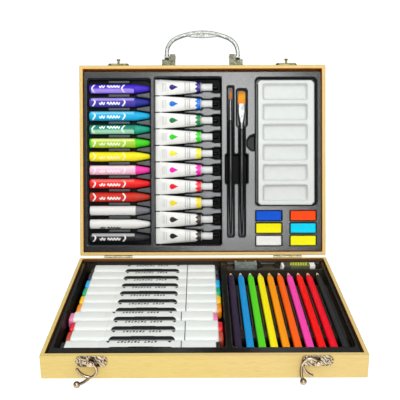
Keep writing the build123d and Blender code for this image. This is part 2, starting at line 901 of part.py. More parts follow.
barrel_length = marker_length - 2 * (marker_cap + marker_joint)
with BuildPart() as marker_barrels:
    for x, y in marker_rows:
        start = x + marker_cap + marker_joint
        bar_along_x(
            start, barrel_length, y, marker_mid_height, marker_width, marker_thickness, marker_corner
        )
        rod_along_x(
            start - marker_neck, barrel_length + 2 * marker_neck, y, marker_mid_height,
            marker_neck_radius,
        )
save(marker_barrels, "marker_barrels")

with BuildPart() as marker_caps:
    for x, y in marker_rows:
        for start, mouth in (
            (x, x + marker_cap - marker_neck),
            (x + marker_length - marker_cap, x + marker_length - marker_cap),
        ):
            bar_along_x(
                start, marker_cap, y, marker_mid_height, marker_width, marker_thickness, marker_corner
            )
            rod_along_x(
                mouth, marker_neck, y, marker_mid_height, marker_neck_radius + running_gap,
                Mode.SUBTRACT,
            )
save(marker_caps, "marker_caps")

with BuildPart() as marker_plugs:
    for x, y in marker_rows:
        for start in (x - marker_plug, x + marker_length):
            bar_along_x(
                start, marker_plug, y, marker_mid_height, marker_width - 2 * marker_plug_inset,
                marker_thickness - 2 * marker_plug_inset, marker_corner - marker_plug_inset,
            )
save(marker_plugs, "marker_plugs")

# Pencils: a hexagonal barrel with a corner up, sharpened to a cone, and a lead through its middle
pencil_places = [
    (pencil_first_x + number * pencil_pitch, pencil_front, pencil_height)
    for number in range(pencil_count)
]
pencil_corner = pencil_flats / sqrt(3)
lead_start = pencil_length - pencil_point * lead_radius / pencil_corner
pencil_end = Plane(origin=(0, 0, 0), x_dir=(1, 0, 0), z_dir=(0, 1, 0))
with BuildPart() as pencil:
    with BuildSketch(pencil_end):
        RegularPolygon(pencil_corner, 6, rotation=30)
    extrude(amount=pencil_length)
    with BuildSketch(half_section(pencil_end)):
        Polygon(
            (0, 0), (pencil_corner + 1, 0), (pencil_corner + 1, pencil_length - pencil_point),
            (pencil_corner, pencil_length - pencil_point), (lead_radius, lead_start),
            (0, lead_start), align=None,
        )
    revolve(axis=Axis((0, 0, 0), (0, 1, 0)), mode=Mode.INTERSECT)
    with BuildSketch(pencil_end):
        Circle(lead_radius + fit_gap)
    extrude(amount=pencil_length, mode=Mode.SUBTRACT)
with BuildPart() as pencil_barrels:
    with Locations(*pencil_places):
        add(pencil.part)
save(pencil_barrels, "pencil_barrels")

with BuildPart() as lead:
    with BuildSketch(half_section(pencil_end)):
        Polygon((0, 0), (lead_radius, 0), (lead_radius, lead_start), (0, pencil_length), align=None)
    revolve(axis=Axis((0, 0, 0), (0, 1, 0)))
with BuildPart() as pencil_leads:
    with Locations(*pencil_places):
        add(lead.part)
save(pencil_leads, "pencil_leads")

# Sharpener: stands on end, with two tapered bores from below and a blade behind each slot
sharpener_front = sharpener_back - sharpener_depth
body_back = sharpener_back - blade
sharpener_bottom = panel + sheet + seat_gap
sharpener_height = sharpener_top - sharpener_bottom
bore_y = sharpener_front + sharpener_depth * bore_share
slot_centres = (sharpener_x - sharpener_slot_offset, sharpener_x + sharpener_slot_offset)
blade_screw_height = sharpener_bottom + sharpener_sill / 2
blade_seats = [
    Plane(origin=(centre, sharpener_back, blade_screw_height), x_dir=(-1, 0, 0), z_dir=(0, 1, 0))
    for centre in slot_centres
]
with BuildPart() as sharpener_body:
    half = sharpener_length / 2
    with BuildSketch(Plane.XY.offset(sharpener_bottom)):
        area(sharpener_x - half, sharpener_x + half, sharpener_front, body_back, sharpener_round)
    extrude(amount=sharpener_height)
    for centre, radius in zip(slot_centres, bore_radii):
        with BuildSketch(Plane.XY.offset(sharpener_bottom + sharpener_sill)):
            area(
                centre - sharpener_slot / 2, centre + sharpener_slot / 2,
                body_back - sharpener_slot_depth, body_back,
            )
        extrude(amount=sharpener_height, mode=Mode.SUBTRACT)
        bore_section = Plane(
            origin=(centre, bore_y, sharpener_bottom), x_dir=(1, 0, 0), z_dir=(0, -1, 0)
        )
        with BuildSketch(bore_section):
            Polygon(
                (0, 0), (radius, 0), (bore_tip_radius, sharpener_height),
                (0, sharpener_height), align=None,
            )
        revolve(axis=Axis((centre, bore_y, 0), (0, 0, 1)), mode=Mode.SUBTRACT)
    for seat in blade_seats:
        drill(seat, shank_radius + fit_gap, blade + blade_screw_grip + fit_gap)
save(sharpener_body, "sharpener_body")

with BuildPart() as sharpener_blades:
    for centre in slot_centres:
        with BuildSketch(Plane.XY.offset(sharpener_bottom + blade_inset)):
            area(
                centre - sharpener_slot / 2 - blade_overlap,
                centre + sharpener_slot / 2 + blade_overlap, body_back, sharpener_back,
            )
        extrude(amount=sharpener_height - 2 * blade_inset)
    for seat in blade_seats:
        drill(seat, shank_radius + fit_gap, 2 * blade)
save(sharpener_blades, "sharpener_blades")

with BuildPart() as sharpener_screws:
    for seat in blade_seats:
        slotted_screw(seat, blade + blade_screw_grip)
save(sharpener_screws, "sharpener_screws")

# Eraser: a slanted block in a card sleeve that leaves its ends bare
eraser_low = eraser_top - eraser_height
sleeve_end = eraser_left + eraser_length - sleeve_right


def slanted(x_low, x_high, y_low, y_high):
    """Draws a band of the eraser's slanted outline, whose front edge is shifted to the right."""
    low = eraser_slant * (eraser_front + eraser_width - y_low) / eraser_width
    high = eraser_slant * (eraser_front + eraser_width - y_high) / eraser_width
    Polygon(
        (x_low + low, y_low), (x_high + low, y_low), (x_high + high, y_high), (x_low + high, y_high),
        align=None,
    )


eraser_back = eraser_front + eraser_width
with BuildPart() as eraser:
    with BuildSketch(Plane.XY.offset(eraser_low + sleeve)):
        slanted(
            eraser_left, eraser_left + eraser_length, eraser_front + sleeve, eraser_back - sleeve
        )
    extrude(amount=eraser_height - 2 * sleeve)
save(eraser, "eraser")

with BuildPart() as eraser_sleeve:
    with BuildSketch(Plane.XY.offset(eraser_low)):
        slanted(eraser_left + sleeve_left, sleeve_end, eraser_front, eraser_back)
    extrude(amount=eraser_height)
    with BuildSketch(Plane.XY.offset(eraser_low + sleeve - fit_gap)):
        area(
            eraser_left - eraser_length, eraser_left + 2 * eraser_length,
            eraser_front + sleeve - fit_gap, eraser_back - sleeve + fit_gap,
        )
    extrude(amount=eraser_height - 2 * (sleeve - fit_gap), mode=Mode.SUBTRACT)
save(eraser_sleeve, "eraser_sleeve")


# Places in the lid: X, distance from the hinge side of the rim, and depth below the rim
def lid_place(x, along, depth):
    """Point in the lid."""
    return lid_rim.from_local_coords((x, along, -depth))


def crosswise(x, along, depth):
    """Plane across the X axis in the lid: its X runs away from the hinge, and its Y outwards."""
    return Plane(origin=lid_place(x, along, depth), x_dir=lid_along, z_dir=(1, 0, 0))


def lengthwise(x, along, depth):
    """Plane across a brush in the lid: its Z runs away from the hinge."""
    return Plane(origin=lid_place(x, along, depth), x_dir=(1, 0, 0), z_dir=lid_along)


def up_the_lid(pitch, count):
    """Places of a row's copies, as shifts away from the hinge."""
    return [lid_along * (pitch * number) for number in range(count)]


# Oil pastels: round sticks with a blunt tip, in paper wrappers
pastel_depth = lid_tray_drop + pastel_drop + pastel_radius
pastel_seat = crosswise(pastel_left, pastel_first, pastel_depth)
stick_radius = pastel_radius - paper
with BuildPart() as pastel:
    with BuildSketch(half_section(pastel_seat)):
        Polygon(
            (0, 0), (stick_radius, 0), (stick_radius, pastel_wrap + pastel_bare),
            (pastel_tip_radius, pastel_length - pastel_tip_bevel),
            (pastel_tip_radius - pastel_tip_bevel, pastel_length), (0, pastel_length), align=None,
        )
    revolve(axis=Axis(pastel_seat.origin, pastel_seat.z_dir))
with BuildPart() as pastel_sticks:
    with Locations(*up_the_lid(pastel_pitch, pastel_count)):
        add(pastel.part)
save(pastel_sticks, "pastel_sticks")

with BuildPart() as wrapper:
    with BuildSketch(pastel_seat.offset(wrapper_inset)):
        Circle(pastel_radius)
        Circle(stick_radius + fit_gap, mode=Mode.SUBTRACT)
    extrude(amount=pastel_wrap - wrapper_inset)
with BuildPart() as pastel_wrappers:
    with Locations(*up_the_lid(pastel_pitch, pastel_count)):
        add(wrapper.part)
save(pastel_wrappers, "pastel_wrappers")

# Paint tubes: flattened from a round shoulder to a folded crimp
tube_depth = lid_tray_drop + tube_drop + tube_radius


def tube_section(distance):
    """Plane across a tube, at a distance from its crimped end."""
    return crosswise(tube_left + distance, tube_first, tube_depth)


flatness = (0.0, 0.28, 0.62, 1.0)
with BuildPart() as tube:
    for share in flatness:
        reach = tube_crimp_length + share * (tube_shoulder - tube_crimp_length)
        width = tube_crimp_width + share * (2 * tube_radius - tube_crimp_width)
        thickness = tube_crimp + sin(radians(90 * share)) * (2 * tube_radius - tube_crimp)
        with BuildSketch(tube_section(reach)):
            Ellipse(width / 2, thickness / 2)
    loft()
    with BuildSketch(tube_section(0)):
        Rectangle(tube_crimp_width, tube_crimp)
    extrude(amount=tube_crimp_length)
    neck_end = tube_cap_start + tube_neck_length
    with BuildSketch(half_section(tube_section(0))):
        Polygon(
            (0, tube_shoulder), (tube_radius, tube_shoulder), (tube_neck_radius, tube_cap_start),
            (tube_neck_radius, neck_end), (0, neck_end), align=None,
        )
    revolve(axis=Axis(tube_section(0).origin, tube_section(0).z_dir))
with BuildPart() as tube_bodies:
    with Locations(*up_the_lid(tube_pitch, tube_count)):
        add(tube.part)
save(tube_bodies, "tube_bodies")

with BuildPart() as cap:
    with BuildSketch(tube_section(tube_cap_start + fit_gap)):
        Circle(tube_cap_radius)
    extrude(amount=tube_length - tube_cap_start - fit_gap)
    with BuildSketch(tube_section(tube_cap_start)):
        Circle(tube_neck_radius + running_gap)
    extrude(amount=neck_end - tube_cap_start + running_gap, mode=Mode.SUBTRACT)
with BuildPart() as tube_caps:
    with Locations(*up_the_lid(tube_pitch, tube_count)):
        add(cap.part)
save(tube_caps, "tube_caps")

# Brushes: turned handles with a tenon in a metal ferrule that grips the root of the bristles
brush_depth = lid_tray_drop + brush_drop


def brush_handle(name, x, ferrule_start, ferrule_radius):
    """Makes a turned handle from its thin end to the ferrule."""
    seat = lengthwise(x, brush_tip, brush_depth)
    length = ferrule_start - brush_tip
    with BuildPart() as handle:
        with BuildSketch(half_section(seat)):
            with BuildLine():
                Polyline(
                    (0, 0), (brush_end_radius * 0.7, 0), (brush_end_radius, brush_end_bevel)
                )
                ThreePointArc(
                    (brush_end_radius, brush_end_bevel), (brush_belly, length * brush_belly_share),
                    (ferrule_radius, length),
                )
                Polyline(
                    (ferrule_radius, length), (brush_tenon_radius, length),
                    (brush_tenon_radius, length + brush_tenon), (0, length + brush_tenon), (0, 0),
                )
            make_face()
        revolve(axis=Axis(seat.origin, seat.z_dir))
    save(handle, name)


brush_handle("round_brush_handle", round_brush_x, round_ferrule[0], round_ferrule_radii[0])
brush_handle("flat_brush_handle", flat_brush_x, flat_ferrule[0], flat_ferrule_radius)

ferrule_bore = brush_tenon_radius + fit_gap
ferrule_length = round_ferrule[1] - round_ferrule[0]
round_seat = lengthwise(round_brush_x, round_ferrule[0], brush_depth)
with BuildPart() as round_brush_ferrule:
    with BuildSketch(half_section(round_seat)):
        Polygon(
            (ferrule_bore, 0), (round_ferrule_radii[0], 0),
            (round_ferrule_radii[1], ferrule_length), (ferrule_bore, ferrule_length), align=None,
        )
    revolve(axis=Axis(round_seat.origin, round_seat.z_dir))
save(round_brush_ferrule, "round_brush_ferrule")

flat_seat = lengthwise(flat_brush_x, flat_ferrule[0], brush_depth)
flat_ferrule_length = flat_ferrule[1] - flat_ferrule[0]
flat_corner = flat_ferrule_thickness / 2 - round_off
flat_mouth = (flat_ferrule_width - sheet, flat_ferrule_thickness - sheet)
with BuildPart() as flat_brush_ferrule:
    with BuildSketch(flat_seat):
        Circle(flat_ferrule_radius)
    with BuildSketch(flat_seat.offset(flat_ferrule_length - flat_ferrule_straight)) as oval:
        RectangleRounded(flat_ferrule_width, flat_ferrule_thickness, flat_corner)
    loft()
    extrude(oval.sketch, amount=flat_ferrule_straight)
    with BuildSketch(flat_seat):
        Circle(ferrule_bore)
    extrude(amount=brush_tenon + fit_gap, mode=Mode.SUBTRACT)
    with BuildSketch(flat_seat.offset(flat_ferrule_length - strand_root)):
        RectangleRounded(*flat_mouth, flat_mouth[1] / 2 - round_off)
    extrude(amount=strand_root, mode=Mode.SUBTRACT)
save(flat_brush_ferrule, "flat_brush_ferrule")

# Bristles: fine square strands, fused to the slice of glue that the ferrule grips
round_root = round_seat.offset(ferrule_length - strand_root)
with BuildPart() as round_brush_bristles:
    with BuildSketch(round_root):
        Circle(ferrule_bore - fit_gap / 2)
    extrude(amount=strand_root)
    rings = []
    for ring in range(strand_rings):
        with BuildSketch(round_root.offset(strand_root / 2)) as ring_sketch:
            with PolarLocations(ring * strand_pitch, max(1, 6 * ring)):
                Rectangle(strand, strand)
        reach = round_bristle_length * (1 - tip_taper * (ring / strand_rings) ** tip_curve)
        rings.append(extrude(ring_sketch.sketch, amount=reach + strand_root / 2, mode=Mode.PRIVATE))
    add(rings)
save(round_brush_bristles, "round_brush_bristles")

flat_root = flat_seat.offset(flat_ferrule_length - strand_root)
with BuildPart() as flat_brush_bristles:
    with BuildSketch(flat_root):
        RectangleRounded(
            flat_mouth[0] - fit_gap, flat_mouth[1] - fit_gap,
            (flat_mouth[1] - fit_gap) / 2 - round_off,
        )
    extrude(amount=strand_root)
    with BuildSketch(flat_root.offset(strand_root / 2)) as strands:
        with GridLocations(strand_pitch, strand_pitch, flat_strand_columns, flat_strand_rows):
            Rectangle(strand, strand)
    extrude(strands.sketch, amount=flat_bristle_length + strand_root / 2)
save(flat_brush_bristles, "flat_brush_bristles")

# Mixing palette with six wells
palette_top = lid_rim.offset(-lid_tray_drop - palette_drop)
with BuildPart() as palette:
    with BuildSketch(palette_top):
        area(*palette_area, palette_corner)
    extrude(amount=-palette_thickness)
    with BuildSketch(palette_top):
        for number in range(well_count):
            with Locations((well_x, well_first + number * well_pitch)):
                RectangleRounded(well_length, well_width, well_corner)
    extrude(amount=-well_depth, mode=Mode.SUBTRACT)
save(palette, "palette")

# Watercolour cakes in two columns
cake_places = [
    (x, cake_first + row * cake_pitch) for x in cake_columns for row in range(cake_rows)
]
with BuildPart() as paint_cakes:
    with BuildSketch(lid_rim.offset(-lid_tray_drop - cake_drop)):
        with Locations(*cake_places):
            RectangleRounded(cake_length, cake_width, cake_corner)
    extrude(amount=-cake_thickness)
save(paint_cakes, "paint_cakes")


# Trays: a flange with pockets pressed into one sheet
def form_tray(top, outline, pockets):
    """Makes the flange and every pocket; a pocket is the function that draws it and its depth."""
    with BuildPart() as tray:
        with BuildSketch(top):
            area(*outline, tray_corner)
        extrude(amount=-sheet)
        for draw, depth in pockets:
            with BuildSketch(top):
                draw()
                offset(amount=sheet)
            extrude(amount=-depth - sheet)
        for draw, depth in pockets:
            with BuildSketch(top):
                draw()
            extrude(amount=-depth, mode=Mode.SUBTRACT)
    return tray


tray_half_length = case_length / 2 - wall - tray_edge_gap
tray_half_depth = case_depth / 2 - wall - tray_edge_gap
base_tray_top = base_rim.offset(-base_tray_drop)
base_bay_depth = half_height - base_tray_drop - panel - sheet
half_rows = marker_width / 2 + marker_bay_margin
marker_bay = (
    first_bay, marker_bay_right,
    marker_first_y - (marker_count - 1) * marker_pitch - half_rows, marker_first_y + half_rows,
)
sharpener_half = sharpener_length / 2 + small_pocket_margin
eraser_pocket_left = eraser_left - small_pocket_margin


def draw_sharpener_pocket():
    """Pocket of the sharpener with a finger notch on its right."""
    area(
        sharpener_x - sharpener_half, sharpener_x + sharpener_half,
        sharpener_front - small_pocket_margin, sharpener_back + small_pocket_margin, pocket_corner,
    )


def draw_sharpener_notch():
    """Finger notch beside the sharpener."""
    with Locations((sharpener_x + sharpener_half, notch_y)):
        Circle(notch_radius)


def draw_eraser_pocket():
    """Pocket of the eraser."""
    area(
        eraser_pocket_left, eraser_pocket_right, eraser_front - small_pocket_margin,
        eraser_back + small_pocket_margin, pocket_corner,
    )


def draw_eraser_notch():
    """Finger notch beside the eraser."""
    with Locations((eraser_pocket_left, notch_y)):
        Circle(notch_radius)


eraser_pocket_depth = half_height - base_tray_drop - eraser_low + seat_gap
base_sheet = form_tray(
    base_tray_top,
    (-tray_half_length, tray_half_length, -tray_half_depth, tray_half_depth),
    [
        (lambda: area(*marker_bay, bay_corner), base_bay_depth),
        (
            lambda: area(
                pencil_bay_left, pencil_bay_right, pencil_bay_front, pencil_bay_back, bay_corner
            ),
            base_bay_depth,
        ),
        (
            lambda: area(
                pencil_bay_left, pencil_bay_right, pencil_bay_back - bay_corner, ledge_back, tray_corner
            ),
            ledge_drop,
        ),
        (draw_sharpener_pocket, base_bay_depth),
        (draw_sharpener_notch, eraser_pocket_depth),
        (draw_eraser_pocket, eraser_pocket_depth),
        (draw_eraser_notch, eraser_pocket_depth),
    ],
)
saddle_top = pencil_height - pencil_corner - seat_gap
with BuildPart() as base_tray:
    add(base_sheet.part)
    with BuildSketch(Plane.XY.offset(panel)):
        area(pencil_bay_left, pencil_bay_right, saddle_front, saddle_back)
    extrude(amount=saddle_top - panel)
    with BuildSketch(Plane.XY.offset(panel)):
        area(pencil_bay_left, pencil_bay_right, saddle_front + sheet, saddle_back - sheet)
    extrude(amount=saddle_top - panel - sheet, mode=Mode.SUBTRACT)
    with BuildSketch(Plane.XY.offset(saddle_top - sheet / 2)):
        for number in range(pencil_count - 1):
            with Locations(
                (pencil_first_x + (number + 0.5) * pencil_pitch, (rib_front + rib_back) / 2)
            ):
                Rectangle(rib_width, rib_back - rib_front)
    extrude(amount=rib_height + sheet / 2)
save(base_tray, "base_tray")

lid_tray_top = lid_rim.offset(-lid_tray_drop)
lid_bay_depth = half_height - lid_tray_drop - panel - sheet
pastel_bay_depth = pastel_drop + 2 * pastel_radius + seat_gap
tube_bay_depth = tube_drop + 2 * tube_radius + seat_gap
slot_half = brush_slot_width / 2
flat_half = flat_slot_width / 2


def draw_palette_notch():
    """Finger notch beside the palette."""
    with Locations(palette_notch):
        Circle(palette_notch_radius)


def draw_cake_pockets():
    """Pockets of the paint cakes."""
    with Locations(*cake_places):
        RectangleRounded(
            cake_length + 2 * cake_margin, cake_width + 2 * cake_margin, cake_corner + cake_margin
        )


lid_sheet = form_tray(
    lid_tray_top,
    (
        -tray_half_length, tray_half_length,
        wall + tray_edge_gap, case_depth - wall - lid_tray_slip,
    ),
    [
        (lambda: area(*pastel_bay, bay_corner), pastel_bay_depth),
        (lambda: area(*tube_bay, bay_corner), tube_bay_depth),
        (
            lambda: area(
                round_brush_x - slot_half, round_brush_x + slot_half, brush_tip - brush_slot_end,
                round_ferrule[1] + round_bristle_length + brush_slot_end, bay_corner,
            ),
            brush_slot_depth,
        ),
        (
            lambda: area(
                flat_brush_x - slot_half, flat_brush_x + slot_half, brush_tip - brush_slot_end,
                flat_ferrule[1], bay_corner,
            ),
            brush_slot_depth,
        ),
        (
            lambda: area(
                flat_brush_x - flat_half, flat_brush_x + flat_half,
                flat_ferrule[0] + brush_slot_end,
                flat_ferrule[1] + flat_bristle_length + brush_slot_end, bay_corner,
            ),
            brush_slot_depth,
        ),
        (lambda: area(recess_left, recess_right, recess_low, recess_high, tray_corner), lid_bay_depth),
        (
            lambda: area(
                palette_area[0] - palette_left_room, palette_area[1] + palette_right_room,
                palette_area[2] - palette_margin, palette_area[3] + palette_high_room,
                palette_corner + palette_margin,
            ),
            palette_drop + palette_thickness + seat_gap,
        ),
        (draw_palette_notch, palette_notch_depth),
        (draw_cake_pockets, cake_drop + cake_thickness + seat_gap),
    ],
)


def rib_outline(points, along):
    """Draws a rib that is as wide on both sides of its middle; points are X and half width."""
    upper = [(x, along + half_width) for x, half_width in points]
    lower = [(x, along - half_width) for x, half_width in reversed(points)]
    Polygon(*upper, *lower, align=None)


bar_half = pastel_pitch / 2 - pastel_radius - bar_margin
neck_half = tube_pitch / 2 - tube_cap_radius - tube_rib_gap
waist_half = tube_pitch / 2 - tube_radius - tube_rib_gap
with BuildPart() as lid_tray:
    add(lid_sheet.part)
    with BuildSketch(lid_tray_top.offset(-pastel_bay_depth - sheet / 2)):
        for number in range(pastel_count):
            middle = pastel_first + (number + 0.5) * pastel_pitch
            area(
                pastel_left + bar_start, pastel_left + bar_end, middle - bar_half, middle + bar_half
            )
        for number in range(pastel_count - 1):
            rib_outline(
                [
                    (pastel_left + wedge_start, bar_half * wedge_share),
                    (pastel_bay[1], wedge_wide / 2),
                ],
                pastel_first + (number + 0.5) * pastel_pitch,
            )
    extrude(amount=pastel_bay_depth * bar_share)
    with BuildSketch(lid_tray_top.offset(-tube_bay_depth - sheet / 2)):
        cap_start = tube_left + tube_cap_start
        neck_low, neck_high, neck_foot = tube_rib_neck
        for number in range(tube_count - 1):
            middle = tube_first + (number + 0.5) * tube_pitch
            rib_outline(
                [
                    (cap_start - tube_rib_tail, waist_half * 0.3),
                    (cap_start - tube_rib_hip, waist_half * 0.8),
                    (cap_start - tube_rib_waist, waist_half), (cap_start + neck_low, neck_half),
                    (cap_start + neck_high, neck_half), (cap_start + neck_foot, neck_half * 0.6),
                    (tube_bay[1], neck_half * 0.6),
                ],
                middle,
            )
    extrude(amount=tube_bay_depth * tube_rib_share)
save(lid_tray, "lid_tray")
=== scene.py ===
"""Dresses the painting set: its wooden case, its two black trays and all that lies in them.

Lengths in the classes are millimetres in a half's own frame, and every mesh is settled in metres in
the shared frame. In the base X runs right, Y back and Z up from the centre of the underside. In the
lid X runs right, Y away from the hinge and Z out of the opening, from the hinge side of its rim.
"""

import json
import logging
import math
from dataclasses import dataclass, field
from enum import Enum
from typing import Callable, Optional, Sequence, Union

import bmesh
import bpy
import numpy as np
from mathutils import Matrix, Vector


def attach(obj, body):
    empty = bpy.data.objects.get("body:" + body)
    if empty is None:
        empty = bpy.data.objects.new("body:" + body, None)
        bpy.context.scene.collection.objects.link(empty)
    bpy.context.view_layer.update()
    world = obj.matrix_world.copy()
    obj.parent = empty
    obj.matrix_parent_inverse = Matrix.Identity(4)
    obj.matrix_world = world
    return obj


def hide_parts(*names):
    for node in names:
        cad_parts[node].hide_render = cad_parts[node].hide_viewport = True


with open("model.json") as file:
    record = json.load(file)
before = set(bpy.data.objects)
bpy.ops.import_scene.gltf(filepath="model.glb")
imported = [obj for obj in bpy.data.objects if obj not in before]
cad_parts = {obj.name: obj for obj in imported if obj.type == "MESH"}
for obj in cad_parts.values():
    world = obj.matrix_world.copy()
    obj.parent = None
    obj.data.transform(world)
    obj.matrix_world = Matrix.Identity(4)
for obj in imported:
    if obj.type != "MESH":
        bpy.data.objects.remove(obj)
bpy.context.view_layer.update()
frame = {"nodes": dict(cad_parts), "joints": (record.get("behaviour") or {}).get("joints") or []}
log = logging.getLogger("painting_set")

Mesh = bpy.types.Mesh
Material = bpy.types.Material
Node = bpy.types.Node
Socket = bpy.types.NodeSocket
Pair = tuple[float, float]
Triple = tuple[float, float, float]
Box = tuple[float, float, float, float]
Colours = tuple[str, ...]
Marks = tuple[tuple[int, str], ...]
Tone = Union[str, Socket]

MM = 0.001
CASE_LENGTH = 300.0
CASE_DEPTH = 232.0
HALF_HEIGHT = 24.0
WALL = 4.0
PANEL = 3.0
RIM_GAP = 0.2


class Half(Enum):
    """The two halves of the case, each with its own frame."""

    BASE = "base"
    LID = "lid"


class Grain(Enum):
    """Direction of the grain of a board, in the frame of its half."""

    ALONG_X = (1.0, 0.0, 0.0)
    ALONG_Y = (0.0, 1.0, 0.0)


def half_frame(half: Half) -> Matrix:
    """Gives the frame of a half of the case.

    Args:
        half: The half.

    Returns:
        The matrix from the half's millimetres to the shared frame's metres.
    """
    scale = Matrix.Scale(MM, 4)
    if half is Half.BASE:
        return scale
    hinge = next(joint for joint in frame["joints"] if joint["name"] == "lid_hinge")
    angle = math.radians(-hinge["range_deg"][0])
    pivot = Vector(hinge["pos_m"])
    offset = pivot.y / MM - CASE_DEPTH / 2
    turn = Matrix.Rotation(math.pi - angle, 4, "X")
    along = turn @ Vector((0, 1, 0))
    out = turn @ Vector((0, 0, 1))
    origin = pivot + (along * offset - out * RIM_GAP) * MM
    return Matrix.Translation(origin) @ turn @ scale


def lid_out() -> Vector:
    """Direction out of the lid's opening in the shared frame."""
    return (half_frame(Half.LID).to_3x3() @ Vector((0, 0, 1))).normalized()


def srgb(code: str) -> tuple[float, float, float, float]:
    """Turns a colour such as "#3f2ac8" into linear light with full alpha.

    Args:
        code: The colour.

    Returns:
        Its red, green, blue and alpha.
    """
    channels = [int(code[index : index + 2], 16) / 255 for index in (1, 3, 5)]
    linear = [c / 12.92 if c <= 0.04045 else ((c + 0.055) / 1.055) ** 2.4 for c in channels]
    return (*linear, 1.0)


def add_node(tree: bpy.types.NodeTree, kind: str, inputs: dict, **settings: object) -> Node:
    """Adds a node to a tree.

    Args:
        tree: The tree.
        kind: The node's type.
        inputs: Values or sockets for its inputs, by name or number.
        **settings: Values of its own settings.

    Returns:
        The node.
    """
    node = tree.nodes.new(kind)
    for key, value in settings.items():
        setattr(node, key, value)
    for key, value in inputs.items():
        if isinstance(value, Socket):
            tree.links.new(value, node.inputs[key])
        else:
            node.inputs[key].default_value = value
    return node


@dataclass(frozen=True)
class Noise:
    """A noise: how many waves it has in 1 mm, its octaves and how rough they are."""

    scale: float
    detail: float = 2
    rough: float = 0.5


